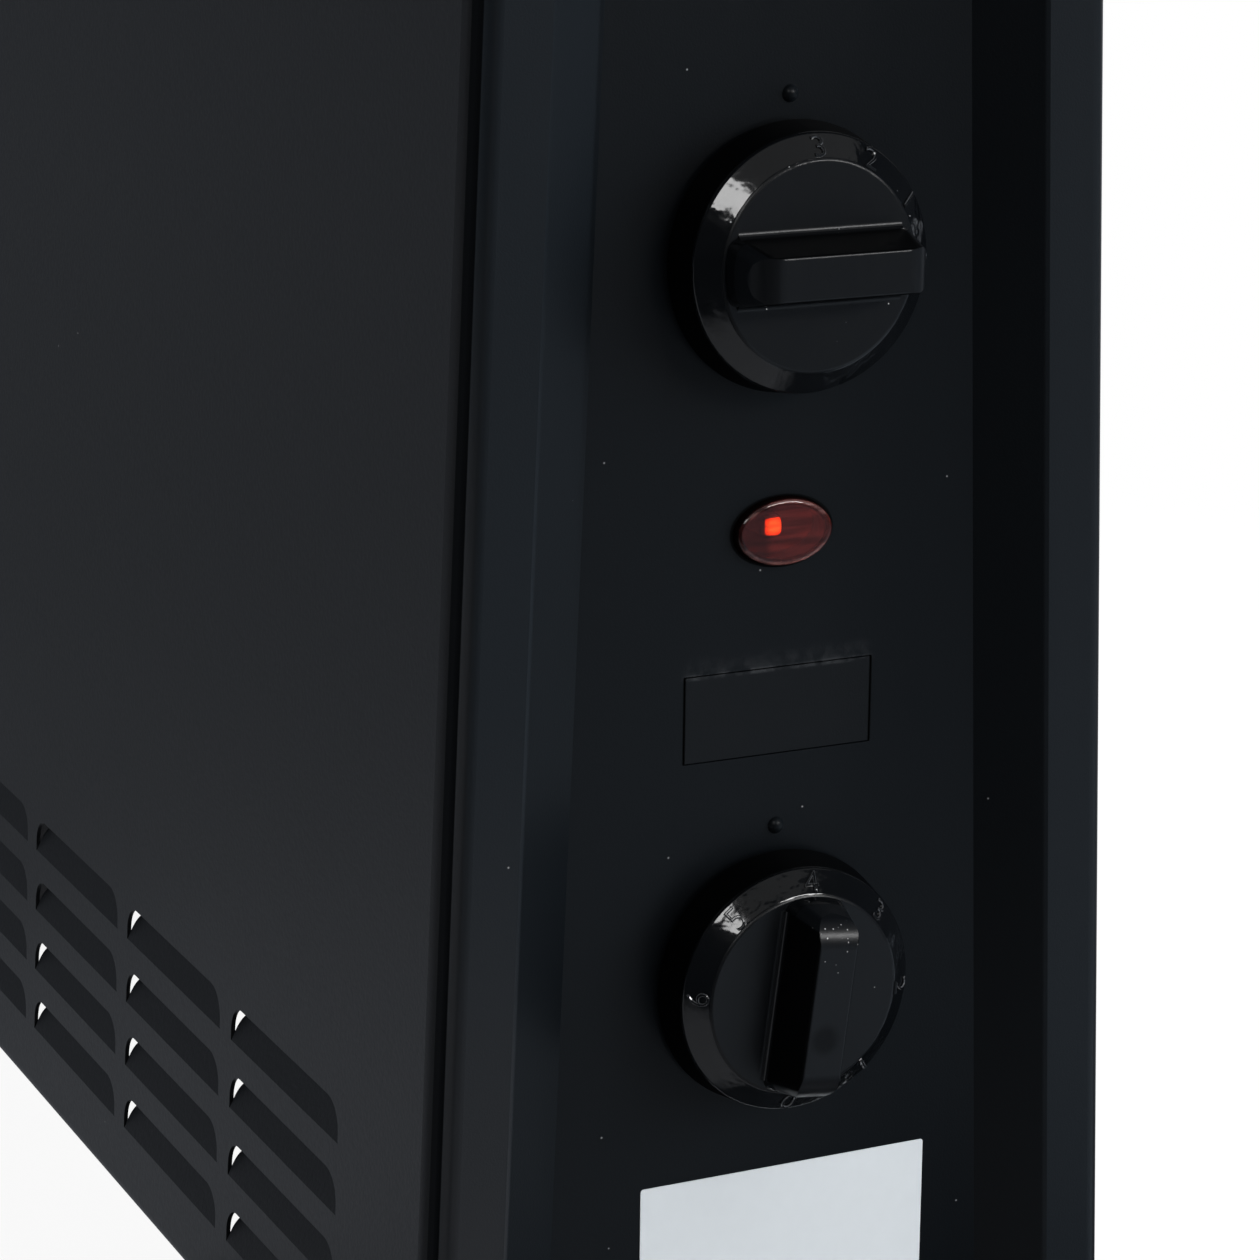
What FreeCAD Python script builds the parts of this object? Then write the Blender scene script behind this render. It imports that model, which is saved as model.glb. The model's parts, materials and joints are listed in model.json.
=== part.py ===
import FreeCAD, Part
import math
import os

# Free-standing convector heater: two louvred pressed panels, a slotted outlet, two moulded end covers,
# a control bay behind the right-hand cover and a pair of stitched heating cards in the chamber between.
# Millimetres. +X points to the control end, the front faces -Y, +Z is up and the floor is at z = 0.

# Body
BODY_LENGTH = 542.0            # over the flat rims of the two end covers
BODY_HEIGHT = 350.0            # bottom edge to top edge of the panels
FLOOR_CLEARANCE = 40.0         # floor to the panels' bottom edge
BASE_DEPTH = 125.6             # over the two panels at their bottom edge
FACE_LEAN_ANGLE = 2.182        # degrees that each panel leans in from upright

# Pressed sheet
SHEET = 0.8
FLANGE = 12.0                  # depth of the folded flanges round each panel
EDGE_FOLD = 3.0                # outer radius of the end and bottom folds
TOP_FOLD = 6.0                 # outer radius of the top fold
SEAT_GAP = 0.1                 # left between pressed pieces that are drawn together by screws
SMALL_ROUND = 0.8              # radius on the edges of small mouldings

# Louvres
LOUVRE_LENGTH = 51.6
LOUVRE_GAP = 5.85              # plain strip between neighbours in a row
LOUVRE_HEIGHT = 7.0
LOUVRE_ROWS = 4
LOUVRE_ROW_PITCH = 12.74
LOUVRE_TOP = 60.0              # panel's bottom edge to the top of the highest row
LOUVRE_CORNER = 5.0
LOUVRE_PUSH = 3.0              # how far the free edge of a flap is pushed in
LOUVRE_KERF = 0.25
LOUVRE_END_MARGIN = 34.0       # least plain width left at each end of a panel

# Outlet grille
GRILLE_SHEET = 1.0
GRILLE_END_GAP = 4.0           # from the panel's end to the grille's end
GRILLE_LAP = 6.0               # width of the grille that lies on each top flange
GRILLE_LIP = 8.0               # depth of the folded lips
GRILLE_LIP_GAP = 0.6           # from a lip to the flange edge beside it
GRILLE_CORNER = 4.0
SLOT_WIDTH = 8.0
SLOT_PITCH = 15.0
SLOT_LENGTH = 62.0
SLOT_END_MARGIN = 26.0         # least plain length at each end of the grille

# End covers
COVER_WALL = 2.5
COVER_STAND = 6.0              # from the rim's face back to the panels' end flanges
COVER_REVEAL = 0.8             # shadow gap between the rim and the panel
COVER_EDGE_RADIUS = 3.0
RIM_WIDTH = 10.9               # side of the cover to the top of the bevel
BEVEL_RUN = 10.9
RECESS_DEPTH = 5.7
RECESS_CORNER = 7.0
FLOOR_CORNER = 4.0
SEAT_PAD_WIDTH = 7.0
SEAT_PAD_INSET = 4.0
HOOK_LENGTH = 10.0
HOOK_THICKNESS = 2.4
HOOK_CLEARANCE = 0.5           # hook post to the flange edge
HOOK_CATCH = 2.4               # how far the barb reaches behind the flange
HOOK_BARB = 2.4
HOOK_MARGIN = 45.0             # lowest and highest hook from the ends of the cover

# Hand grips in the covers
GRIP_WIDTH = 70.0
GRIP_HEIGHT = 26.0
GRIP_DEPTH = 20.0              # behind the recess floor
GRIP_DROP = 48.0               # cover's top to the middle of the grip
GRIP_CORNER = 9.0

# Controls, one below the other
SELECTOR_HEIGHT = 205.0        # panels' bottom edge to the selector's axis
LAMP_DROP = 44.0               # selector's axis to the middle of the lamp
BLANK_DROP = 29.5              # lamp to the middle of the blanking plate
THERMOSTAT_DROP = 44.5         # blanking plate to the thermostat's axis
POINTER_RISE = 25.2            # knob centre to its reference dot
POINTER_RADIUS = 1.5
POINTER_SINK = 0.5             # centre of the dot's ball below the floor

# Knobs
KNOB_DIAMETER = 43.0           # at the foot of the skirt
KNOB_SHOULDER_DIAMETER = 40.6  # where the skirt meets the sloping ring
KNOB_GAP = 0.8                 # recess floor to the underside of the knob
KNOB_SKIRT = 7.2               # underside to the shoulder
KNOB_FACE_DIAMETER = 32.7
KNOB_FACE_HEIGHT = 10.0        # above the underside
KNOB_EDGE = 0.6
KNOB_WALL = 2.2
KNOB_HOLLOW = 4.2
KNOB_HUB_DIAMETER = 13.0
BAR_WIDTH = 11.0               # at the foot of the grip bar
BAR_LENGTH = 33.0
BAR_DRAFT = 2.0                # taken off each side by the top of the bar
BAR_HEIGHT = 9.0
BAR_CORNER = 2.4
BAR_EDGE = 0.5                 # radius along the long edges of the bar's top
BAR_END_ROUND = 5.0            # radius where the bar's top turns down to its ends
BAR_FOOT_ROUND = 1.0           # hollow radius where the sides of the bar meet the face
SELECTOR_BAR_ANGLE = 90.0      # grip bar from upright, anticlockwise as seen from outside
THERMOSTAT_BAR_ANGLE = -7.0
SHAFT_DIAMETER = 6.0
SHAFT_FLAT = 2.2               # axis to the flat of the D
SHAFT_DEPTH = 10.0             # length of shaft inside the switch or thermostat
SHAFT_IN_KNOB = 11.0
SHAFT_FIT = 0.05               # radial running clearance
SHAFT_END_GAP = 0.3
SHAFT_HOLE_DIAMETER = 9.0      # through the cover's floor

# Switch and thermostat bodies
SWITCH_SIDE = 32.0
SWITCH_DEPTH = 18.0
THERMOSTAT_WIDTH = 34.0
THERMOSTAT_LENGTH = 46.0
THERMOSTAT_DEPTH = 19.0
HOUSING_CORNER = 3.0
FIXING_RADIUS = 12.0           # shaft axis to each fixing screw
FIXING_DEPTH = 8.0
TAB_WIDTH = 6.3
TAB_THICKNESS = 0.8
TAB_LENGTH = 8.0
TAB_SPACING = 12.0

# Pilot lamp and blanking plate
LENS_WIDTH = 17.0
LENS_HEIGHT = 11.0
LENS_PROUD = 1.6
LENS_WALL = 1.2
LENS_CROWN = 0.9
LENS_FLANGE = 1.8
LENS_CLEARANCE = 0.15
LAMP_HOUSING_DEPTH = 15.0
NEON_DIAMETER = 4.4
NEON_LENGTH = 15.0
BLANK_WIDTH = 33.2
BLANK_TALL = 14.1
BLANK_CLEARANCE = 0.2
BLANK_LEG = 5.0
BLANK_LEG_THICKNESS = 1.6
BLANK_LEG_WIDTH = 7.0
BLANK_BARB = 1.0

# Control bay and heating chamber
BAY_DEPTH = 43.0               # rim's face to the chamber side of the bulkhead
BAY_WALL_END = 9.0             # rim's face to the open edge of the bay walls
BAY_LOW_CORNER = 4.0
BAY_TOP_CORNER = 7.0
CARD_HEIGHT = 74.0
CARD_THICKNESS = 1.0
CARD_SPACING = 34.0
CARD_MIDDLE = 128.0            # panel's bottom edge to the middle of the cards
CARD_END_GAP = 3.0             # shoulder of a card to the bulkhead
CARD_TAB_HEIGHT = 30.0
CARD_TAB_REACH = 6.0           # beyond the bulkhead plate
CARD_SLOT_CLEARANCE = 0.15
RIBBON_PITCH = 13.0            # along the card, from one zigzag to the next
RIBBON_WIDTH = 3.0
RIBBON_THICKNESS = 0.4
RIBBON_EDGE = 5.0              # turn to the card's edge
RIBBON_END_MARGIN = 14.0
CUTOUT_HEIGHT = 252.0          # panel's bottom edge to the thermal cut-out
CUTOUT_DIAMETER = 16.4
CUTOUT_REACH = 6.0
CUTOUT_BASE = 9.0
CUTOUT_EAR = 30.0
CUTOUT_EAR_WIDTH = 12.0
CUTOUT_PLATE = 1.0
CUTOUT_CLEARANCE = 0.3
BLOCK_LENGTH = 36.0
BLOCK_HEIGHT = 18.0
BLOCK_DEPTH = 15.0
BLOCK_RISE = 38.0              # panel's bottom edge to the middle of the terminal block
BLOCK_OFFSET = -22.0
BLOCK_POLES = 3
BLOCK_BORE = 4.0
BLOCK_BORE_DEPTH = 6.0
BLOCK_STEP = 4.0               # how far the screw turrets stand above the base
BLOCK_TURRET = 10.0
GLAND_OFFSET = 28.0            # behind the middle of the body
GLAND_BORE = 7.2
GLAND_NECK = 11.4
GLAND_COLLAR = 16.0
GLAND_SNAP = 13.0
GLAND_COLLAR_DEPTH = 3.0
GLAND_SNAP_DEPTH = 4.0
GLAND_CLEARANCE = 0.15

# Screws
SCREW_DIAMETER = 3.5
SCREW_HEAD_DIAMETER = 6.4
SCREW_HEAD_HEIGHT = 2.0
SCREW_HEAD_ROUND = 1.0
SCREW_CLEARANCE = 0.1
SCREW_GRIP = 6.0
FLANGE_SCREW_INSET = 8.4       # face of the panel to a screw in its flange
BAY_SCREW_INSET = 26.0         # rim's face to the screws that hold the bay
NUT_SIDES = 6
NUT_FLATS = 6.0                # across the flats
NUT_HEIGHT = 2.8

# Feet
FOOT_INSET = 96.0              # rim's face to the middle of the foot
FOOT_LENGTH = 204.0
FOOT_WIDTH = 46.0
FOOT_WALL = 3.0
FOOT_TOE_HEIGHT = 15.0
FOOT_SHOULDER = 6.0            # bearing beyond the panel's face at the top
FOOT_ROUND = 5.0
FOOT_TOE_ROUND = 7.0
FOOT_SIDE_ROUND = 2.2
FOOT_RIB = 2.4
FOOT_BOSS_DIAMETER = 11.0
FOOT_BOSS_DEPTH = 9.0
FOOT_SCREW_GRIP = 14.0
PAD_DIAMETER = 20.0
PAD_PROUD = 2.0
PAD_STEM_DIAMETER = 7.0
PAD_STEM_LENGTH = 6.0
PAD_INSET = 18.0               # toe to the middle of the pad
PAD_CLEARANCE = 0.1

# Places that follow from the sizes above
V = FreeCAD.Vector
X_AXIS = V(1, 0, 0)
Y_AXIS = V(0, 1, 0)
Z_AXIS = V(0, 0, 1)
FACE_LEAN = math.tan(math.radians(FACE_LEAN_ANGLE))
PANEL_BOTTOM = FLOOR_CLEARANCE
PANEL_TOP = PANEL_BOTTOM + BODY_HEIGHT
COVER_TOP = PANEL_TOP + GRILLE_SHEET
BODY_CENTRE_X = -(KNOB_GAP + KNOB_FACE_HEIGHT + BAR_HEIGHT - RECESS_DEPTH) / 2
RIM_X = BODY_CENTRE_X + BODY_LENGTH / 2
PANEL_END_X = RIM_X - COVER_STAND
PANEL_LENGTH = 2 * (PANEL_END_X - BODY_CENTRE_X)
FLOOR_X = RIM_X - RECESS_DEPTH
FLOOR_BACK_X = FLOOR_X - COVER_WALL
BULKHEAD_X = RIM_X - BAY_DEPTH
BAY_X = BULKHEAD_X + SHEET
BAY_LOW = PANEL_BOTTOM + SHEET + SEAT_GAP
BAY_HIGH = PANEL_TOP - SHEET - SEAT_GAP
BAY_SCREW_X = RIM_X - BAY_SCREW_INSET
FOOT_X = RIM_X - FOOT_INSET
SCREW_HOLE = SCREW_DIAMETER / 2 + SCREW_CLEARANCE
SELECTOR_Z = PANEL_BOTTOM + SELECTOR_HEIGHT
LAMP_Z = SELECTOR_Z - LAMP_DROP
BLANK_Z = LAMP_Z - BLANK_DROP
THERMOSTAT_Z = BLANK_Z - THERMOSTAT_DROP
CARD_Z = PANEL_BOTTOM + CARD_MIDDLE
GRIP_Z = COVER_TOP - GRIP_DROP
OVERCUT = 1.0                  # how far a cutting solid runs past the face that it opens
NEAR = 1e-4                    # two places nearer than this are the same


# Helpers


def rounded_wire(corners):
    """Closed wire through (point, radius) corners, with a tangent arc wherever the radius isn't zero."""
    starts, ends, arcs = [], [], []
    count = len(corners)
    for index, (point, radius) in enumerate(corners):
        back = (corners[index - 1][0] - point).normalize()
        ahead = (corners[(index + 1) % count][0] - point).normalize()
        half = back.getAngle(ahead) / 2
        trim = radius / math.tan(half)
        starts.append(point + back * trim)
        ends.append(point + ahead * trim)
        if radius:
            inward = (back + ahead).normalize()
            nearest = point + inward * (radius / math.sin(half) - radius)
            arcs.append(Part.Arc(starts[-1], nearest, ends[-1]).toShape())
        else:
            arcs.append(None)
    edges = []
    for index in range(count):
        if arcs[index]:
            edges.append(arcs[index])
        following = starts[(index + 1) % count]
        if (following - ends[index]).Length > NEAR:
            edges.append(Part.makeLine(ends[index], following))
    return Part.Wire(edges)


def prism(wire, direction):
    return Part.Face(wire).extrude(direction)


def loft(first, second):
    return Part.makeLoft([first, second], True, True)


def box(low, high):
    return Part.makeBox(high.x - low.x, high.y - low.y, high.z - low.z, low)


def upright_plate(x, y, z, width, height, radius):
    """Wire of a rounded rectangle in the plane square to X, with its middle at y and z."""
    corners = [(-1, -1), (1, -1), (1, 1), (-1, 1)]
    return rounded_wire([(V(x, y + a * width / 2, z + b * height / 2), radius) for a, b in corners])


def level_plate(x, y, z, length, width, radius):
    """Wire of a rounded rectangle in the plane square to Z, with its middle at x and y."""
    corners = [(-1, -1), (1, -1), (1, 1), (-1, 1)]
    return rounded_wire([(V(x + a * length / 2, y + b * width / 2, z), radius) for a, b in corners])


def oval(x, y, z, width, height):
    """Elliptical wire in the plane square to X, its longer axis along Y."""
    centre = V(x, y, z)
    ellipse = Part.Ellipse(centre + Y_AXIS * (width / 2), centre + Z_AXIS * (height / 2), centre)
    return Part.Wire(ellipse.toShape())


def union(shapes):
    return shapes[0].multiFuse(shapes[1:]).removeSplitter()


def cut_all(shape, tools):
    return shape.cut(Part.makeCompound(tools))


def other_end(shape):
    """The same piece at the other end of the body, as its mirror image."""
    return shape.mirror(V(BODY_CENTRE_X, 0, 0), X_AXIS)


def other_face(shape):
    """The same pressing turned round to the other face of the body."""
    turned = shape.copy()
    turned.rotate(V(BODY_CENTRE_X, 0, 0), Z_AXIS, 180)
    return turned


def at_both_ends(x):
    return x, 2 * BODY_CENTRE_X - x


def half_depth(z, inset=0.0):
    """Half of the body's depth at height z, less an inset taken square to the leaning face."""
    return BASE_DEPTH / 2 - FACE_LEAN * (z - PANEL_BOTTOM) - inset * math.hypot(1, FACE_LEAN)


def body_section(x, inset, low, high, low_radius, high_radius):
    """Wire of the body's tapered section at x, drawn in by an inset at the faces."""
    return rounded_wire([
        (V(x, -half_depth(low, inset), low), low_radius),
        (V(x, half_depth(low, inset), low), low_radius),
        (V(x, half_depth(high, inset), high), high_radius),
        (V(x, -half_depth(high, inset), high), high_radius),
    ])


def edges_at(shape, direction, level):
    """Edges whose middle lies at the given level along the given direction."""
    return [edge for edge in shape.Edges if abs(edge.CenterOfMass.dot(direction) - level) < NEAR]


def edges_beyond(shape, x):
    """Edges that lie wholly at x or further along +X."""
    return [edge for edge in shape.Edges if edge.BoundBox.XMin > x - NEAR]


def pan_screw(seat, axis, shank_length):
    """Screw whose shank runs from the seat along the axis, with a rounded head behind the seat."""
    head = Part.makeCylinder(SCREW_HEAD_DIAMETER / 2, SCREW_HEAD_HEIGHT, seat, -axis)
    crown = edges_at(head, -axis, seat.dot(-axis) + SCREW_HEAD_HEIGHT)
    head = head.makeFillet(SCREW_HEAD_ROUND, crown)
    shank = Part.makeCylinder(SCREW_DIAMETER / 2, shank_length, seat, axis)
    return head.fuse(shank).removeSplitter()


def screw_hole(seat, axis, length):
    return Part.makeCylinder(SCREW_HOLE, length + OVERCUT, seat - axis * OVERCUT, axis)


# Louvred panels


def panel_slab(inset, back_reach):
    """Slab behind the panel's outer face with its outer folds rounded, drawn in by an inset."""
    low = PANEL_BOTTOM + inset
    high = PANEL_TOP - inset
    end = PANEL_END_X - inset
    start = 2 * BODY_CENTRE_X - end
    length = end - start
    front_low = -half_depth(low, inset)
    front_high = -half_depth(high, inset)
    side = rounded_wire([
        (V(start, front_low, low), EDGE_FOLD - inset),
        (V(start, front_low + back_reach, low), 0),
        (V(start, front_high + back_reach, high), 0),
        (V(start, front_high, high), TOP_FOLD - inset),
    ])
    plan = rounded_wire([
        (V(start, front_low, low), EDGE_FOLD - inset),
        (V(end, front_low, low), EDGE_FOLD - inset),
        (V(end, front_low + back_reach, low), 0),
        (V(start, front_low + back_reach, low), 0),
    ])
    across = prism(side, X_AXIS * length)
    upward = prism(plan, V(0, front_high - front_low, high - low))
    return across.common(upward)


def louvre_outline(x, y, z, inset):
    """Outline of one louvre in the plane square to Y: square at the hinge, rounded at the free edge."""
    left = x - LOUVRE_LENGTH / 2 + inset
    right = x + LOUVRE_LENGTH / 2 - inset
    top = z + LOUVRE_HEIGHT - inset
    return rounded_wire([
        (V(left, y, z), 0),
        (V(right, y, z), 0),
        (V(right, y, top), LOUVRE_CORNER - inset),
        (V(left, y, top), LOUVRE_CORNER - inset),
    ])


def louvre_hinges():
    """Middle of each louvre's hinge line on the front panel's outer face."""
    pitch = LOUVRE_LENGTH + LOUVRE_GAP
    columns = int((PANEL_LENGTH - 2 * LOUVRE_END_MARGIN + LOUVRE_GAP) / pitch)
    for row in range(LOUVRE_ROWS):
        z = PANEL_BOTTOM + LOUVRE_TOP - LOUVRE_HEIGHT - row * LOUVRE_ROW_PITCH
        for column in range(columns):
            x = BODY_CENTRE_X + (column - (columns - 1) / 2) * pitch
            yield V(x, -half_depth(z), z)


def panel_holes():
    """Screw holes through the bottom and top flanges of the front panel."""
    holes = []
    low_y = -half_depth(PANEL_BOTTOM) + FLANGE_SCREW_INSET
    high_y = -half_depth(PANEL_TOP) + FLANGE_SCREW_INSET
    for x in at_both_ends(FOOT_X) + at_both_ends(BAY_SCREW_X):
        holes.append(screw_hole(V(x, low_y, PANEL_BOTTOM), Z_AXIS, SHEET + OVERCUT))
    for x in at_both_ends(BAY_SCREW_X):
        holes.append(screw_hole(V(x, high_y, PANEL_TOP), -Z_AXIS, SHEET + OVERCUT))
    return holes


def louvred_panel():
    """Pressed panel folded in on all four sides, with rows of flaps cut free and pushed in at the top."""
    tray = panel_slab(0, FLANGE).cut(panel_slab(SHEET, FLANGE + OVERCUT))
    tilt = math.degrees(math.asin(LOUVRE_PUSH / LOUVRE_HEIGHT))
    slots, flaps = [], []
    for hinge in louvre_hinges():
        slot = louvre_outline(hinge.x, hinge.y - OVERCUT, hinge.z, 0)
        slots.append(prism(slot, Y_AXIS * (SHEET + 2 * OVERCUT)))
        flap = prism(louvre_outline(hinge.x, hinge.y, hinge.z, LOUVRE_KERF), Y_AXIS * SHEET)
        flap.rotate(hinge, X_AXIS, -tilt)
        flaps.append(flap)
    return cut_all(tray, slots + panel_holes()).multiFuse(flaps)


# Outlet grille


def outlet_grille():
    """Slotted outlet that lies on the panels' top flanges, with lips folded down between them."""
    length = PANEL_LENGTH - 2 * GRILLE_END_GAP
    flange_edge = half_depth(PANEL_TOP) - FLANGE
    plate = prism(
        level_plate(BODY_CENTRE_X, 0, PANEL_TOP, length, 2 * (flange_edge + GRILLE_LAP), GRILLE_CORNER),
        Z_AXIS * GRILLE_SHEET,
    )
    lip_y = flange_edge - GRILLE_LIP_GAP
    lip_length = 2 * (BULKHEAD_X - BODY_CENTRE_X) - 2 * GRILLE_LIP
    lips = []
    for side in (-1, 1):
        inner = side * (lip_y - GRILLE_SHEET)
        outer = side * lip_y
        low = V(BODY_CENTRE_X - lip_length / 2, min(inner, outer), PANEL_TOP - GRILLE_LIP)
        high = V(BODY_CENTRE_X + lip_length / 2, max(inner, outer), PANEL_TOP + GRILLE_SHEET / 2)
        lips.append(box(low, high))
    count = int((length - 2 * SLOT_END_MARGIN + SLOT_PITCH - SLOT_WIDTH) / SLOT_PITCH)
    cuts = []
    for index in range(count):
        x = BODY_CENTRE_X + (index - (count - 1) / 2) * SLOT_PITCH
        slot = level_plate(x, 0, PANEL_TOP - OVERCUT, SLOT_WIDTH, SLOT_LENGTH, SLOT_WIDTH / 2)
        cuts.append(prism(slot, Z_AXIS * (GRILLE_SHEET + 2 * OVERCUT)))
    screw_y = half_depth(PANEL_TOP) - FLANGE_SCREW_INSET
    for x in at_both_ends(BAY_SCREW_X):
        for y in (-screw_y, screw_y):
            cuts.append(screw_hole(V(x, y, PANEL_TOP + GRILLE_SHEET), -Z_AXIS, GRILLE_SHEET + OVERCUT))
    return cut_all(union([plate] + lips), cuts)


def grille_screws():
    screw_y = half_depth(PANEL_TOP) - FLANGE_SCREW_INSET
    top = PANEL_TOP + GRILLE_SHEET
    places = [(x, y) for x in at_both_ends(BAY_SCREW_X) for y in (-screw_y, screw_y)]
    return [pan_screw(V(x, y, top), -Z_AXIS, SCREW_GRIP) for x, y in places]


# End covers


def cover_section(x, inset, low_radius, high_radius):
    return body_section(x, inset, PANEL_BOTTOM + inset, COVER_TOP - inset, low_radius, high_radius)


def cover_shell():
    """Moulded cover with a flat rim, bevels down to a recessed floor and a hand grip sunk near the top."""
    back = PANEL_END_X + COVER_REVEAL
    block = prism(cover_section(back, 0, EDGE_FOLD, TOP_FOLD), X_AXIS * (RIM_X - back))
    block = block.makeFillet(COVER_EDGE_RADIUS, edges_beyond(block, RIM_X))
    inner_low = max(EDGE_FOLD - COVER_WALL, SMALL_ROUND)
    cavity = prism(
        cover_section(back - OVERCUT, COVER_WALL, inner_low, TOP_FOLD - COVER_WALL),
        X_AXIS * (RIM_X - COVER_WALL - back + OVERCUT),
    )
    slope = math.atan2(RECESS_DEPTH, BEVEL_RUN)
    draw_in = COVER_WALL * math.tan(slope / 2)
    bevel_top = RIM_WIDTH
    bevel_foot = RIM_WIDTH + BEVEL_RUN
    pan = loft(
        cover_section(RIM_X - COVER_WALL, bevel_top - draw_in, RECESS_CORNER, RECESS_CORNER),
        cover_section(FLOOR_BACK_X, bevel_foot - draw_in, FLOOR_CORNER, FLOOR_CORNER),
    )
    recess = loft(
        cover_section(RIM_X, bevel_top, RECESS_CORNER, RECESS_CORNER),
        cover_section(FLOOR_X, bevel_foot, FLOOR_CORNER, FLOOR_CORNER),
    )
    pocket_outer = prism(
        upright_plate(RIM_X - COVER_WALL, 0, GRIP_Z, GRIP_WIDTH + 2 * COVER_WALL,
                      GRIP_HEIGHT + 2 * COVER_WALL, GRIP_CORNER + COVER_WALL),
        -X_AXIS * (RECESS_DEPTH + GRIP_DEPTH),
    )
    pocket = prism(
        upright_plate(RIM_X + OVERCUT, 0, GRIP_Z, GRIP_WIDTH, GRIP_HEIGHT, GRIP_CORNER),
        -X_AXIS * (OVERCUT + RECESS_DEPTH + GRIP_DEPTH),
    )
    shell = union([block.cut(cavity), pan, pocket_outer] + cover_hooks())
    return shell.cut(recess).cut(pocket)


def cover_hooks():
    """Seat pads that bear on the panels' end flanges, each with a hook that snaps behind the flange."""
    middle = (PANEL_BOTTOM + COVER_TOP) / 2
    levels = (PANEL_BOTTOM + HOOK_MARGIN, middle, COVER_TOP - HOOK_MARGIN)
    root_x = RIM_X - COVER_WALL - SEAT_GAP
    barb_top = PANEL_END_X - SHEET - SEAT_GAP
    pieces = []
    for z in levels:
        face = half_depth(z)
        low = z - HOOK_LENGTH / 2
        high = z + HOOK_LENGTH / 2
        pad_outer = face - SEAT_PAD_INSET
        post_outer = face - FLANGE - HOOK_CLEARANCE
        post_inner = post_outer - HOOK_THICKNESS
        barb_outer = face - FLANGE + HOOK_CATCH
        for side in (-1, 1):
            spans = [
                (pad_outer - SEAT_PAD_WIDTH, pad_outer, PANEL_END_X, RIM_X - COVER_WALL / 2),
                (post_inner, post_outer, barb_top - HOOK_BARB, root_x - COVER_WALL / 2),
                (post_inner, barb_outer, barb_top - HOOK_BARB, barb_top),
            ]
            for inner, outer, x_low, x_high in spans:
                near = min(side * inner, side * outer)
                far = max(side * inner, side * outer)
                pieces.append(box(V(x_low, near, low), V(x_high, far, high)))
    return pieces


def fixing_points(z):
    """The two screw places each side of a shaft axis."""
    return [V(FLOOR_X, side * FIXING_RADIUS, z) for side in (-1, 1)]


def control_cover():
    """Right-hand cover, pierced for the shafts, fixing screws, lamp and blanking plate."""
    through = COVER_WALL + 2 * OVERCUT
    front = FLOOR_X + OVERCUT
    cuts = []
    dots = []
    for z in (SELECTOR_Z, THERMOSTAT_Z):
        cuts.append(Part.makeCylinder(SHAFT_HOLE_DIAMETER / 2, through, V(front, 0, z), -X_AXIS))
        cuts += [screw_hole(point, -X_AXIS, COVER_WALL + OVERCUT) for point in fixing_points(z)]
        dots.append(Part.makeSphere(POINTER_RADIUS, V(FLOOR_X - POINTER_SINK, 0, z + POINTER_RISE)))
    lamp_hole = oval(front, 0, LAMP_Z, LENS_WIDTH + 2 * LENS_CLEARANCE, LENS_HEIGHT + 2 * LENS_CLEARANCE)
    cuts.append(prism(lamp_hole, -X_AXIS * through))
    blank_hole = upright_plate(front, 0, BLANK_Z, BLANK_WIDTH + 2 * BLANK_CLEARANCE,
                               BLANK_TALL + 2 * BLANK_CLEARANCE, 0)
    cuts.append(prism(blank_hole, -X_AXIS * through))
    return union([cut_all(cover_shell(), cuts)] + dots)


def plain_cover():
    return other_end(cover_shell())


# Knobs, shafts and what they turn


def bar_outline(x, z, width, length):
    """Outline of a grip bar square to X: straight sides, and ends that follow a circle about the axis."""
    half = width / 2
    radius = length / 2
    rise = math.sqrt(radius ** 2 - half ** 2)
    low_left = V(x, -half, z - rise)
    low_right = V(x, half, z - rise)
    high_right = V(x, half, z + rise)
    high_left = V(x, -half, z + rise)
    return Part.Wire([
        Part.makeLine(low_right, high_right),
        Part.Arc(high_right, V(x, 0, z + radius), high_left).toShape(),
        Part.makeLine(high_left, low_left),
        Part.Arc(low_left, V(x, 0, z - radius), low_right).toShape(),
    ])


def grip_bar(face_x, z):
    """Tapered bar across the knob's face: rounded corners, ends that turn down and hollow feet."""
    sunk_x = face_x - KNOB_EDGE
    top_x = face_x + BAR_HEIGHT
    bar = loft(
        bar_outline(sunk_x, z, BAR_WIDTH, BAR_LENGTH),
        bar_outline(top_x, z, BAR_WIDTH - 2 * BAR_DRAFT, BAR_LENGTH - 2 * BAR_DRAFT),
    )
    uprights = [edge for edge in bar.Edges if edge.BoundBox.XLength > BAR_HEIGHT]
    bar = bar.makeFillet(BAR_CORNER, uprights)
    bar = bar.makeFillet(BAR_EDGE, edges_beyond(bar, top_x))
    low = z - BAR_LENGTH / 2
    high = z + BAR_LENGTH / 2
    side_view = rounded_wire([
        (V(sunk_x, -BAR_WIDTH, low), 0),
        (V(sunk_x, -BAR_WIDTH, high), 0),
        (V(top_x, -BAR_WIDTH, high - BAR_DRAFT), BAR_END_ROUND),
        (V(top_x, -BAR_WIDTH, low + BAR_DRAFT), BAR_END_ROUND),
    ])
    bar = bar.common(prism(side_view, Y_AXIS * (2 * BAR_WIDTH)))
    return [bar] + [bar_foot(face_x, z, side) for side in (-1, 1)]


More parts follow.
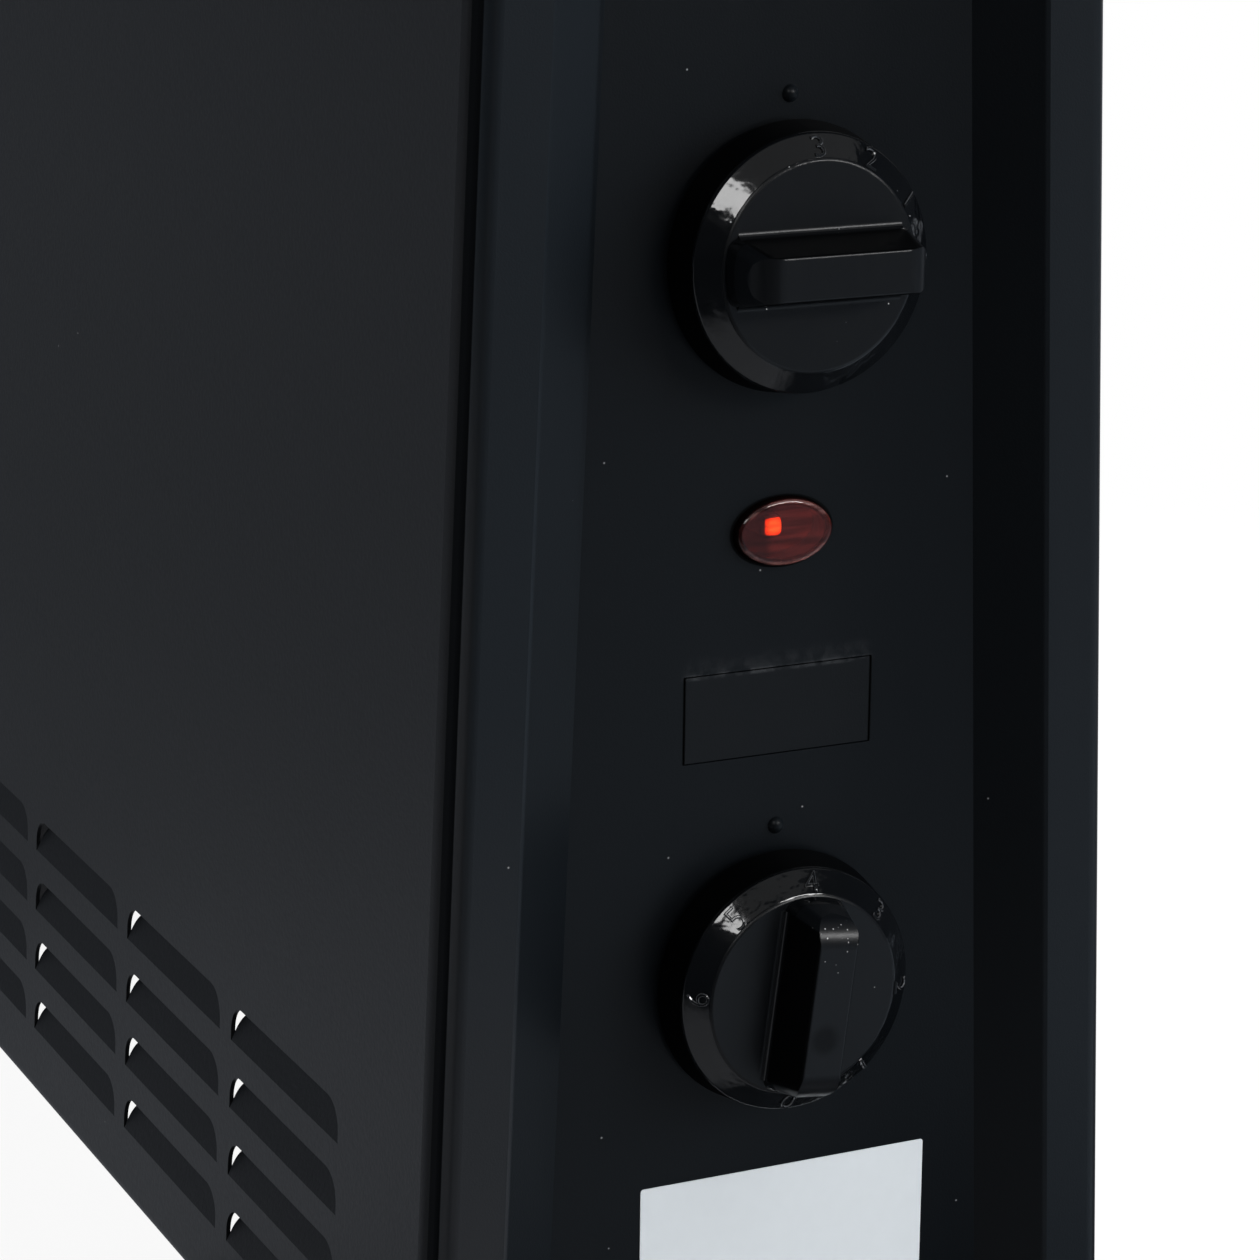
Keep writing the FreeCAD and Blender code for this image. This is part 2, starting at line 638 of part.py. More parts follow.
def bar_foot(face_x, z, side):
    """Hollow fillet between the knob's face and one side of the grip bar."""
    rise = BAR_HEIGHT + KNOB_EDGE
    up = V(rise, -side * BAR_DRAFT, 0).normalize()
    out = V(0, side, 0)
    corner = V(face_x, side * (BAR_WIDTH / 2 - BAR_DRAFT * KNOB_EDGE / rise), z - BAR_LENGTH / 2 + BAR_CORNER)
    half = up.getAngle(out) / 2
    reach = BAR_FOOT_ROUND / math.tan(half)
    nearest = corner + (up + out).normalize() * (BAR_FOOT_ROUND / math.sin(half) - BAR_FOOT_ROUND)
    low = corner + out * reach
    high = corner + up * reach
    root = V(face_x - KNOB_EDGE, 0, corner.z)
    sunk = V(face_x - KNOB_EDGE, low.y, corner.z)
    middle = V(high.x, 0, corner.z)
    outline = Part.Wire([
        Part.Arc(low, nearest, high).toShape(),
        Part.makeLine(high, middle),
        Part.makeLine(middle, root),
        Part.makeLine(root, sunk),
        Part.makeLine(sunk, low),
    ])
    return prism(outline, Z_AXIS * (BAR_LENGTH - 2 * BAR_CORNER))


def knob(z, bar_angle):
    """Moulded knob: skirt, sloping scale ring, flat face and a tapered grip bar, hollow underneath."""
    base = FLOOR_X + KNOB_GAP
    radius = KNOB_DIAMETER / 2
    shoulder_radius = KNOB_SHOULDER_DIAMETER / 2
    face_radius = KNOB_FACE_DIAMETER / 2
    face_x = base + KNOB_FACE_HEIGHT
    profile = rounded_wire([
        (V(base, 0, z), 0),
        (V(base, radius, z), KNOB_EDGE),
        (V(base + KNOB_SKIRT, shoulder_radius, z), KNOB_EDGE),
        (V(face_x, face_radius, z), KNOB_EDGE),
        (V(face_x, 0, z), 0),
    ])
    body = Part.Face(profile).revolve(V(base, 0, z), X_AXIS, 360)
    hollow_radius = shoulder_radius - KNOB_WALL
    hollow = Part.makeCylinder(hollow_radius, KNOB_HOLLOW + OVERCUT, V(base - OVERCUT, 0, z), X_AXIS)
    hub = Part.makeCylinder(KNOB_HUB_DIAMETER / 2, KNOB_HOLLOW + OVERCUT, V(base - OVERCUT, 0, z), X_AXIS)
    bore = d_section(base - OVERCUT, z, SHAFT_FIT, SHAFT_IN_KNOB + OVERCUT + SHAFT_END_GAP)
    shape = union([body] + grip_bar(face_x, z)).cut(hollow.cut(hub)).cut(bore)
    shape.rotate(V(base, 0, z), X_AXIS, bar_angle)
    return shape


def d_section(x, z, clearance, length):
    """Solid with the shaft's D section, grown by a clearance."""
    radius = SHAFT_DIAMETER / 2 + clearance
    flat = SHAFT_FLAT + clearance
    bar = Part.makeCylinder(radius, length, V(x, 0, z), X_AXIS)
    return bar.cut(box(V(x - OVERCUT, -radius - OVERCUT, z + flat),
                       V(x + length + OVERCUT, radius + OVERCUT, z + radius + OVERCUT)))


def shaft(z, bar_angle):
    """Spindle, round in its bearing and flatted where the knob pushes on."""
    base = FLOOR_X + KNOB_GAP
    inner_end = FLOOR_BACK_X - SHAFT_DEPTH
    journal = Part.makeCylinder(SHAFT_DIAMETER / 2, base - inner_end, V(inner_end, 0, z), X_AXIS)
    shape = union([journal, d_section(base - SHAFT_END_GAP, z, 0, SHAFT_IN_KNOB + SHAFT_END_GAP)])
    shape.rotate(V(base, 0, z), X_AXIS, bar_angle)
    return shape


def control_housing(z, width, height, depth, tabs):
    """Switch or thermostat body behind the cover's floor, bored for its shaft and screws, with tabs."""
    body = prism(upright_plate(FLOOR_BACK_X, 0, z, width, height, HOUSING_CORNER), -X_AXIS * depth)
    back = FLOOR_BACK_X - depth
    rear = [edge for edge in body.Edges if edge.BoundBox.XMax < back + NEAR]
    body = body.makeFillet(SMALL_ROUND, rear)
    blades = []
    for y, dz in tabs:
        low = V(back - TAB_LENGTH, y - TAB_THICKNESS / 2, z + dz - TAB_WIDTH / 2)
        high = V(back + OVERCUT, y + TAB_THICKNESS / 2, z + dz + TAB_WIDTH / 2)
        blades.append(box(low, high))
    bearing = Part.makeCylinder(SHAFT_DIAMETER / 2 + SHAFT_FIT, SHAFT_DEPTH + SHAFT_END_GAP + OVERCUT,
                                V(FLOOR_BACK_X + OVERCUT, 0, z), -X_AXIS)
    holes = [screw_hole(point - X_AXIS * COVER_WALL, -X_AXIS, FIXING_DEPTH) for point in fixing_points(z)]
    return cut_all(union([body] + blades), [bearing] + holes)


def selector_switch():
    tabs = [(a * TAB_SPACING / 2, b * TAB_SPACING / 2) for a in (-1, 1) for b in (-1, 1)]
    return control_housing(SELECTOR_Z, SWITCH_SIDE, SWITCH_SIDE, SWITCH_DEPTH, tabs)


def thermostat_body():
    tabs = [(0, b * TAB_SPACING) for b in (-1, 1)]
    return control_housing(THERMOSTAT_Z, THERMOSTAT_WIDTH, THERMOSTAT_LENGTH, THERMOSTAT_DEPTH, tabs)


def control_screws():
    """Screws through the cover's floor into the switch and the thermostat, hidden under the knobs."""
    length = COVER_WALL + FIXING_DEPTH - SHAFT_END_GAP
    points = fixing_points(SELECTOR_Z) + fixing_points(THERMOSTAT_Z)
    return [pan_screw(point, -X_AXIS, length) for point in points]


# Pilot lamp and blanking plate


def lamp_lens():
    """Oval lens, hollow behind, standing proud of the floor and trapped by its flange."""
    crown = FLOOR_X + LENS_PROUD
    plug = prism(oval(FLOOR_BACK_X - LENS_WALL, 0, LAMP_Z, LENS_WIDTH, LENS_HEIGHT),
                 X_AXIS * (crown - FLOOR_BACK_X + LENS_WALL))
    plug = plug.makeFillet(LENS_CROWN, edges_beyond(plug, crown))
    flange = prism(
        oval(FLOOR_BACK_X, 0, LAMP_Z, LENS_WIDTH + 2 * LENS_FLANGE, LENS_HEIGHT + 2 * LENS_FLANGE),
        -X_AXIS * LENS_WALL,
    )
    hollow = prism(
        oval(FLOOR_BACK_X - LENS_WALL, 0, LAMP_Z, LENS_WIDTH - 2 * LENS_WALL, LENS_HEIGHT - 2 * LENS_WALL),
        X_AXIS * (crown - LENS_WALL - FLOOR_BACK_X + LENS_WALL),
    )
    return union([plug, flange]).cut(hollow)


def lamp_housing():
    """Cup behind the lens that holds the neon lamp, with its two tabs."""
    front = FLOOR_BACK_X - LENS_WALL
    cup = prism(
        oval(front, 0, LAMP_Z, LENS_WIDTH + 2 * LENS_FLANGE, LENS_HEIGHT + 2 * LENS_FLANGE),
        -X_AXIS * LAMP_HOUSING_DEPTH,
    )
    hollow = prism(
        oval(front, 0, LAMP_Z, LENS_WIDTH - 2 * LENS_WALL, LENS_HEIGHT - 2 * LENS_WALL),
        -X_AXIS * (LAMP_HOUSING_DEPTH - LENS_WALL),
    )
    back = front - LAMP_HOUSING_DEPTH
    blades = []
    for side in (-1, 1):
        y = side * TAB_SPACING / 2
        low = V(back - TAB_LENGTH, y - TAB_THICKNESS / 2, LAMP_Z - TAB_WIDTH / 2)
        blades.append(box(low, V(back + LENS_WALL / 2, y + TAB_THICKNESS / 2, LAMP_Z + TAB_WIDTH / 2)))
    return union([cup.cut(hollow)] + blades)


def neon_lamp():
    """Neon glow lamp: a round-ended glass envelope standing on the floor of its cup."""
    seat = FLOOR_BACK_X - LENS_WALL - LAMP_HOUSING_DEPTH + LENS_WALL
    radius = NEON_DIAMETER / 2
    tube = Part.makeCylinder(radius, NEON_LENGTH - radius, V(seat, 0, LAMP_Z), X_AXIS)
    return union([tube, Part.makeSphere(radius, V(seat + NEON_LENGTH - radius, 0, LAMP_Z))])


def blanking_plate():
    """Snap-in plate that closes the spare switch opening, flush with the floor."""
    plate = prism(upright_plate(FLOOR_X, 0, BLANK_Z, BLANK_WIDTH, BLANK_TALL, 0), -X_AXIS * COVER_WALL)
    half = BLANK_WIDTH / 2
    low_z = BLANK_Z - BLANK_LEG_WIDTH / 2
    high_z = BLANK_Z + BLANK_LEG_WIDTH / 2
    catch_x = FLOOR_BACK_X - SEAT_GAP
    legs = []
    for side in (-1, 1):
        inner = side * (half - BLANK_LEG_THICKNESS)
        outer = side * half
        tip = side * (half + BLANK_CLEARANCE + BLANK_BARB)
        legs.append(box(V(catch_x - BLANK_LEG, min(inner, outer), low_z),
                        V(FLOOR_X, max(inner, outer), high_z)))
        legs.append(box(V(catch_x - BLANK_LEG / 2, min(inner, tip), low_z),
                        V(catch_x, max(inner, tip), high_z)))
    return union([plate] + legs)


# Bulkheads, heating cards and wiring pieces


def bay_tray(x, inset, depth):
    """Solid that fills the bay between the panels from x, drawn in by an inset."""
    low = BAY_LOW + inset
    high = BAY_HIGH - inset
    section = body_section(x, SHEET + SEAT_GAP + inset, low, high,
                           BAY_LOW_CORNER - inset, BAY_TOP_CORNER - inset)
    return prism(section, X_AXIS * depth)


def bulkhead():
    """Pressed tray that closes one end of the heating chamber and makes the walls of the end bay."""
    depth = RIM_X - BAY_WALL_END - BULKHEAD_X
    tray = bay_tray(BULKHEAD_X, 0, depth).cut(bay_tray(BAY_X, SHEET, depth))
    cuts = []
    for side in (-1, 1):
        width = CARD_THICKNESS + 2 * CARD_SLOT_CLEARANCE
        height = CARD_TAB_HEIGHT + 2 * CARD_SLOT_CLEARANCE
        slot = upright_plate(BULKHEAD_X - OVERCUT, side * CARD_SPACING / 2, CARD_Z, width, height, 0)
        cuts.append(prism(slot, X_AXIS * (SHEET + 2 * OVERCUT)))
        low_y = side * (half_depth(PANEL_BOTTOM) - FLANGE_SCREW_INSET)
        high_y = side * (half_depth(PANEL_TOP) - FLANGE_SCREW_INSET)
        cuts.append(screw_hole(V(BAY_SCREW_X, low_y, BAY_LOW), Z_AXIS, SHEET + OVERCUT))
        cuts.append(screw_hole(V(BAY_SCREW_X, high_y, BAY_HIGH), -Z_AXIS, SHEET + OVERCUT))
    return cut_all(tray, cuts)


def gland_place():
    return V((BAY_X + FLOOR_BACK_X) / 2, GLAND_OFFSET, BAY_LOW)


def control_bulkhead():
    """Bulkhead of the control bay, with openings for the thermal cut-out and the cord gland."""
    cutout = Part.makeCylinder(CUTOUT_DIAMETER / 2 + CUTOUT_CLEARANCE, SHEET + 2 * OVERCUT,
                               V(BULKHEAD_X - OVERCUT, 0, PANEL_BOTTOM + CUTOUT_HEIGHT), X_AXIS)
    gland = Part.makeCylinder(GLAND_NECK / 2 + GLAND_CLEARANCE, SHEET + 2 * OVERCUT,
                              gland_place() - Z_AXIS * OVERCUT, Z_AXIS)
    return cut_all(bulkhead(), [cutout, gland])


def bay_screws():
    """Screws up through the panels' bottom flanges into the bay trays."""
    y = half_depth(PANEL_BOTTOM) - FLANGE_SCREW_INSET
    places = [(x, side * y) for x in at_both_ends(BAY_SCREW_X) for side in (-1, 1)]
    return [pan_screw(V(x, y, PANEL_BOTTOM), Z_AXIS, SCREW_GRIP) for x, y in places]


def heating_card(side):
    """Insulating card that carries a heating ribbon, with tabs that sit in the bulkheads' slots."""
    y = side * CARD_SPACING / 2
    low_y = y - CARD_THICKNESS / 2
    high_y = y + CARD_THICKNESS / 2
    shoulder = BULKHEAD_X - CARD_END_GAP
    tip = BAY_X + CARD_TAB_REACH
    card = box(V(2 * BODY_CENTRE_X - shoulder, low_y, CARD_Z - CARD_HEIGHT / 2),
               V(shoulder, high_y, CARD_Z + CARD_HEIGHT / 2))
    tab = box(V(2 * BODY_CENTRE_X - tip, low_y, CARD_Z - CARD_TAB_HEIGHT / 2),
              V(tip, high_y, CARD_Z + CARD_TAB_HEIGHT / 2))
    return union([card, tab])


def heating_ribbon(side):
    """Resistance ribbon laid in a zigzag on the outer face of a card."""
    y = side * (CARD_SPACING + CARD_THICKNESS) / 2
    half_run = BULKHEAD_X - CARD_END_GAP - RIBBON_END_MARGIN - BODY_CENTRE_X
    turns = int(2 * half_run / RIBBON_PITCH)
    reach = CARD_HEIGHT / 2 - RIBBON_EDGE - RIBBON_WIDTH
    line = []
    for index in range(turns + 1):
        x = BODY_CENTRE_X + (index - turns / 2) * RIBBON_PITCH
        line.append(V(x, y, CARD_Z + (reach if index % 2 else -reach)))
    shift = Z_AXIS * RIBBON_WIDTH
    corners = [point + shift for point in line] + [point - shift for point in reversed(line)]
    outline = Part.makePolygon(corners + corners[:1])
    return prism(outline, Y_AXIS * (side * RIBBON_THICKNESS))


def thermal_cutout():
    """Disc cut-out in the control bulkhead: its cap faces the hot air, its tabs the control bay."""
    z = PANEL_BOTTOM + CUTOUT_HEIGHT
    radius = CUTOUT_DIAMETER / 2
    cap = Part.makeCylinder(radius, CUTOUT_REACH + SHEET, V(BAY_X, 0, z), -X_AXIS)
    cap = cap.makeFillet(SMALL_ROUND, edges_at(cap, -X_AXIS, CUTOUT_REACH + SHEET - BAY_X))
    ears = prism(upright_plate(BAY_X, 0, z, CUTOUT_EAR, CUTOUT_EAR_WIDTH, CUTOUT_EAR_WIDTH / 2),
                 X_AXIS * CUTOUT_PLATE)
    plate = Part.makeCylinder(radius + CUTOUT_PLATE, CUTOUT_PLATE, V(BAY_X, 0, z), X_AXIS)
    base = Part.makeCylinder(radius - CUTOUT_PLATE, CUTOUT_BASE, V(BAY_X, 0, z), X_AXIS)
    blades = []
    for side in (-1, 1):
        y = side * TAB_SPACING / 2
        low = V(BAY_X + CUTOUT_BASE - OVERCUT, y - TAB_THICKNESS / 2, z - TAB_WIDTH / 2)
        high = V(BAY_X + CUTOUT_BASE + TAB_LENGTH, y + TAB_THICKNESS / 2, z + TAB_WIDTH / 2)
        blades.append(box(low, high))
    return union([cap, ears, plate, base] + blades)


def terminal_block():
    """Stepped connection block on the bulkhead, with a wire bore for each pole."""
    z = PANEL_BOTTOM + BLOCK_RISE
    bottom = z - BLOCK_HEIGHT / 2
    base_depth = BLOCK_DEPTH - BLOCK_STEP
    middle = BAY_X + base_depth / 2
    base = box(V(BAY_X, BLOCK_OFFSET - BLOCK_LENGTH / 2, bottom),
               V(BAY_X + base_depth, BLOCK_OFFSET + BLOCK_LENGTH / 2, bottom + BLOCK_HEIGHT))
    pitch = BLOCK_LENGTH / BLOCK_POLES
    turrets, bores = [], []
    for pole in range(BLOCK_POLES):
        y = BLOCK_OFFSET + (pole - (BLOCK_POLES - 1) / 2) * pitch
        turrets.append(Part.makeCylinder(BLOCK_TURRET / 2, BLOCK_DEPTH, V(BAY_X, y, z), X_AXIS))
        bores.append(Part.makeCylinder(BLOCK_BORE / 2, BLOCK_BORE_DEPTH, V(middle, y, bottom), Z_AXIS))
    return cut_all(union([base] + turrets), bores)


def cord_gland():
    """Snap-in gland in the floor of the control bay, where the supply cord comes in."""
    seat = gland_place()
    profile = rounded_wire([
        (seat + V(GLAND_BORE / 2, 0, -GLAND_COLLAR_DEPTH), 0),
        (seat + V(GLAND_COLLAR / 2, 0, -GLAND_COLLAR_DEPTH), SMALL_ROUND),
        (seat + V(GLAND_COLLAR / 2, 0, 0), 0),
        (seat + V(GLAND_NECK / 2, 0, 0), 0),
        (seat + V(GLAND_NECK / 2, 0, SHEET + SEAT_GAP), 0),
        (seat + V(GLAND_SNAP / 2, 0, SHEET + SEAT_GAP), 0),
        (seat + V(GLAND_NECK / 2, 0, SHEET + GLAND_SNAP_DEPTH), 0),
        (seat + V(GLAND_BORE / 2, 0, SHEET + GLAND_SNAP_DEPTH), 0),
    ])
    return Part.Face(profile).revolve(seat, Z_AXIS, 360)


# Feet


def foot_screw_y():
    return half_depth(PANEL_BOTTOM) - FLANGE_SCREW_INSET


def foot_profile(x):
    """Side outline of a foot: a flat bearing under the body, sloping shoulders and rounded toes."""
    half = FOOT_LENGTH / 2
    bearing = half_depth(PANEL_BOTTOM) + FOOT_SHOULDER
    return rounded_wire([
        (V(x, -half, PAD_PROUD), SMALL_ROUND),
        (V(x, half, PAD_PROUD), SMALL_ROUND),
        (V(x, half, FOOT_TOE_HEIGHT), FOOT_TOE_ROUND),
        (V(x, bearing, PANEL_BOTTOM), FOOT_ROUND),
        (V(x, -bearing, PANEL_BOTTOM), FOOT_ROUND),
        (V(x, -half, FOOT_TOE_HEIGHT), FOOT_TOE_ROUND),
    ])


def foot():
    """Hollow moulded foot across the body, with screw bosses, pad bosses and ribs inside."""
    start = FOOT_X - FOOT_WIDTH / 2
    outline = foot_profile(start)
    outer = prism(outline, X_AXIS * FOOT_WIDTH)
    sides = [edge for edge in outer.Edges
             if edge.BoundBox.XLength < NEAR and edge.BoundBox.ZMax > PAD_PROUD + SMALL_ROUND + NEAR]
    rounded = outer.makeFillet(FOOT_SIDE_ROUND, sides)
    inner_face = Part.Face(outline).makeOffset2D(-FOOT_WALL)
    inner = inner_face.extrude(X_AXIS * (FOOT_WIDTH - 2 * FOOT_WALL))
    inner.translate(X_AXIS * FOOT_WALL)
    end = start + FOOT_WIDTH
    toe = FOOT_LENGTH / 2
    mouth = box(V(start + FOOT_WALL, FOOT_WALL - toe, PAD_PROUD - OVERCUT),
                V(end - FOOT_WALL, toe - FOOT_WALL, PAD_PROUD + FOOT_WALL + OVERCUT))
    boss_low = PANEL_BOTTOM - FOOT_BOSS_DEPTH
    boss_radius = FOOT_BOSS_DIAMETER / 2
    stem_radius = PAD_STEM_DIAMETER / 2 + PAD_CLEARANCE
    additions, holes = [], []
    for side in (-1, 1):
        screw_y = side * foot_screw_y()
        pad_y = side * (toe - PAD_INSET)
        rib_y = screw_y / 2
        additions.append(Part.makeCylinder(boss_radius, FOOT_BOSS_DEPTH, V(FOOT_X, screw_y, boss_low)))
        additions.append(Part.makeCylinder(PAD_DIAMETER / 2, PANEL_BOTTOM, V(FOOT_X, pad_y, PAD_PROUD)))
        additions.append(box(V(start + FOOT_WALL / 2, rib_y - FOOT_RIB / 2, PAD_PROUD + FOOT_WALL),
                             V(end - FOOT_WALL / 2, rib_y + FOOT_RIB / 2, PANEL_BOTTOM - FOOT_WALL / 2)))
        holes.append(screw_hole(V(FOOT_X, screw_y, boss_low), Z_AXIS, FOOT_BOSS_DEPTH + OVERCUT))
        holes.append(Part.makeCylinder(stem_radius, PAD_STEM_LENGTH + PAD_CLEARANCE,
                                       V(FOOT_X, pad_y, PAD_PROUD)))
    shell = rounded.cut(union([inner, mouth]))
    inside = Part.makeCompound(additions).common(rounded)
    return cut_all(union([shell] + inside.Solids), holes)


def foot_places():
    return [(x, side) for x in at_both_ends(FOOT_X) for side in (-1, 1)]


def foot_pads():
    """Rubber pads pressed into the toes, each a disc with a stem."""
    pads = []
    for x, side in foot_places():
        y = side * (FOOT_LENGTH / 2 - PAD_INSET)
        disc = Part.makeCylinder(PAD_DIAMETER / 2, PAD_PROUD, V(x, y, 0))
        stem = Part.makeCylinder(PAD_STEM_DIAMETER / 2, PAD_STEM_LENGTH, V(x, y, PAD_PROUD))
        pads.append(union([disc, stem]))
    return pads


def foot_screws():
    seat = PANEL_BOTTOM - FOOT_BOSS_DEPTH
    points = [V(x, side * foot_screw_y(), seat) for x, side in foot_places()]
    return [pan_screw(point, Z_AXIS, FOOT_SCREW_GRIP) for point in points]


def foot_nuts():
    """Hexagon nuts on the panels' bottom flanges, one over each foot screw."""
    turn = 2 * math.pi / NUT_SIDES
    reach = NUT_FLATS / 2 / math.cos(turn / 2)
    nuts = []
    for x, side in foot_places():
        middle = V(x, side * foot_screw_y(), PANEL_BOTTOM + SHEET)
        corners = [middle + V(reach * math.cos(turn * index), reach * math.sin(turn * index), 0)
                   for index in range(NUT_SIDES + 1)]
        hole = screw_hole(middle, Z_AXIS, NUT_HEIGHT + OVERCUT)
        nuts.append(prism(Part.makePolygon(corners), Z_AXIS * NUT_HEIGHT).cut(hole))
    return nuts


def save(name, shape):
    """Write one node, a single solid or a group of separate solids."""
    solid = Part.makeCompound(shape) if isinstance(shape, list) else shape
    solid.exportStep(os.path.join("parts", name + ".step"))


def build():
    os.makedirs("parts", exist_ok=True)
    front = louvred_panel()
    save("front_panel", front)
    save("rear_panel", other_face(front))
    save("outlet_grille", outlet_grille())
    save("grille_screws", grille_screws())
    save("control_cover", control_cover())
    save("plain_cover", plain_cover())
    save("control_bulkhead", control_bulkhead())
    save("plain_bulkhead", other_end(bulkhead()))
    save("bay_screws", bay_screws())
    save("selector_knob", knob(SELECTOR_Z, SELECTOR_BAR_ANGLE))
    save("selector_shaft", shaft(SELECTOR_Z, SELECTOR_BAR_ANGLE))
    save("selector_switch", selector_switch())
    save("thermostat_knob", knob(THERMOSTAT_Z, THERMOSTAT_BAR_ANGLE))
    save("thermostat_shaft", shaft(THERMOSTAT_Z, THERMOSTAT_BAR_ANGLE))
    save("thermostat_body", thermostat_body())
    save("control_screws", control_screws())
    save("lamp_lens", lamp_lens())
    save("lamp_housing", lamp_housing())
    save("neon_lamp", neon_lamp())
    save("blanking_plate", blanking_plate())
    for name, side in (("front", -1), ("rear", 1)):
        save(name + "_heating_card", heating_card(side))
        save(name + "_heating_ribbon", heating_ribbon(side))
    save("thermal_cutout", thermal_cutout())
    save("terminal_block", terminal_block())
    save("cord_gland", cord_gland())
    right_foot = foot()
    save("right_foot", right_foot)
    save("left_foot", other_end(right_foot))
    save("foot_pads", foot_pads())
    save("foot_screws", foot_screws())
    save("foot_nuts", foot_nuts())


build()
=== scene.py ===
"""Looks of a free-standing convector heater: finishes, dial figures, pilot glow, plate, screws and studio."""
import json
import math

import bmesh
import bpy
from mathutils import Matrix, Vector


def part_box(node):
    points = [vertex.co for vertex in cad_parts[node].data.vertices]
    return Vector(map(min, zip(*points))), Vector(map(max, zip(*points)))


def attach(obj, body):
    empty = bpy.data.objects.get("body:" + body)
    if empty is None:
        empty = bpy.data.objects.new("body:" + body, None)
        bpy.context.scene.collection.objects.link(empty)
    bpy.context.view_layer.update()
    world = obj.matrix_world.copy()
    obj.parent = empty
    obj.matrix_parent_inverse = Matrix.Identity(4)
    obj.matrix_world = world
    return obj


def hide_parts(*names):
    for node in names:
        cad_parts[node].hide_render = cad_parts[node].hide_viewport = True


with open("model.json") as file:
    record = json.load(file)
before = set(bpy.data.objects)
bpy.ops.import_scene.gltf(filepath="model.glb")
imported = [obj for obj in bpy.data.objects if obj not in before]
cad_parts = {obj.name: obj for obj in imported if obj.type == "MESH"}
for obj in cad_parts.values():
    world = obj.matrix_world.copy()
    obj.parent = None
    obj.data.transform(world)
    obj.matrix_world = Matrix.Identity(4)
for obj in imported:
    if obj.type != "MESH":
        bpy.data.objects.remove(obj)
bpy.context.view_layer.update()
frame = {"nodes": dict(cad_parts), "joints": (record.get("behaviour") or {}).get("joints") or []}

bl_info = {
    "name": "Convector Heater Looks",
    "version": (1, 0, 0),
    "blender": (4, 5, 0),
    "location": "View3D > Sidebar > Heater",
    "description": "Dresses a convector heater with finishes, dial figures, a pilot glow and a studio",
    "category": "Object",
}

MM = 0.001
NODES = frame["nodes"]
WHITE = (1.0, 1.0, 1.0)

# Places that the frame gives
AXES = {joint["child"]: Vector(joint["pos_m"]) for joint in frame["joints"]}
RIM_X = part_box("control_cover")[1].x
FLOOR_X = AXES["selector"].x
PANEL_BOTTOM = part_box("front_panel")[0].z
KNOB_BASE_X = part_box("selector_knob")[0].x

# Scale ring of a knob, from its skirt to its face
SKIRT_HEIGHT = 7.2 * MM
SHOULDER_RADIUS = 20.3 * MM
FACE_HEIGHT = 10.0 * MM
FACE_RADIUS = 16.35 * MM
SHOULDER_X = KNOB_BASE_X + SKIRT_HEIGHT
FACE_X = KNOB_BASE_X + FACE_HEIGHT
RING_RUN = SHOULDER_RADIUS - FACE_RADIUS
RING_FALL = FACE_HEIGHT - SKIRT_HEIGHT
RING_SLANT = math.hypot(RING_RUN, RING_FALL)

# Figures on the two dials, in degrees clockwise from the top
SELECTOR_FIGURES = [(str(3 - step), 30.0 * step) for step in range(4)]
THERMOSTAT_FIGURES = [(str(4 - step), 5.0 + 45.0 * step) for step in range(-2, 5)]

# A figure's walls and chamfers, by height above the ring, and the painted highlight that stands for the light
# they catch
FIGURE_WALL = (0.08 * MM, 0.14 * MM)
FIGURE_TOP = (0.37 * MM, 0.32 * MM)
FIGURE_EDGE_HIGHLIGHT = (0.055, 0.058, 0.063)

# Grip bars: half width at the foot, draft, lean clockwise in degrees, and long sides, which get painted shade
BAR_HALF = 5.5 * MM
BAR_DRAFT = 2.0 / 9.0
BAR_LEANS = {"selector": 90.0, "thermostat": 7.0}
BAR_SIDE = (BAR_HALF - 0.25 * MM, BAR_HALF - 0.1 * MM)
BAR_SIDE_START = (0.9 * MM, 1.2 * MM)
KNOB_REACH = (24 * MM, 23 * MM)

# Crumbs on the thermostat's grip bar, and a dull smudge lower down: middle and reach
CRUMBS = (AXES["thermostat"] + Vector((19.8, 0.2, 10.8)) * MM, 6.0 * MM)
SMUDGE = (AXES["thermostat"] + Vector((19.8, -0.9, -4.4)) * MM, 3.2 * MM)
SMUDGE_COVER = 0.45

# Neon electrode: depth in its glass, share of the glass's height, corners, thickness and colours
ELECTRODE_SINK = 0.8 * MM
ELECTRODE_SHARE = 0.62
ELECTRODE_CORNER = 0.15
ELECTRODE_THICKNESS = 1.2 * MM
ELECTRODE_EDGE = 0.2 * MM
ELECTRODE_HEART = (1.0, 0.36, 0.06)
ELECTRODE_METAL = (0.4, 0.2, 0.1)

# Rating plate: corner radius, softened edge and depth in the cover's floor
PLATE_CORNER = 0.5 * MM
PLATE_EDGE = 0.03 * MM
PLATE_SINK = 0.05 * MM

# Screws: height of the head, radius of the shank and sides of the round
HEAD_HEIGHT = 2.0 * MM
SHANK_RADIUS = 1.7 * MM
SCREW_SIDES = 32

# Cross recess: shares of the head's radius and height, width at its bottom, and turns in radians
RECESS_REACH = 0.52
RECESS_WIDTH = 0.30
RECESS_DEPTH = 0.62
RECESS_TAPER = 0.45
RECESS_FIRST_TURN = 0.4
RECESS_NEXT_TURN = 0.9

# Draft of the covers' sides, and where the rim's outer edge begins at floor level
COVER_TAPER = 0.0262
RIM_FLANK = (57.5 * MM, 58.5 * MM)

# Reach of the blanking plate's barbs and of the lens's flange past what shows
BLANK_BARB_REACH = 1.2 * MM
LENS_FLANGE = 1.8 * MM

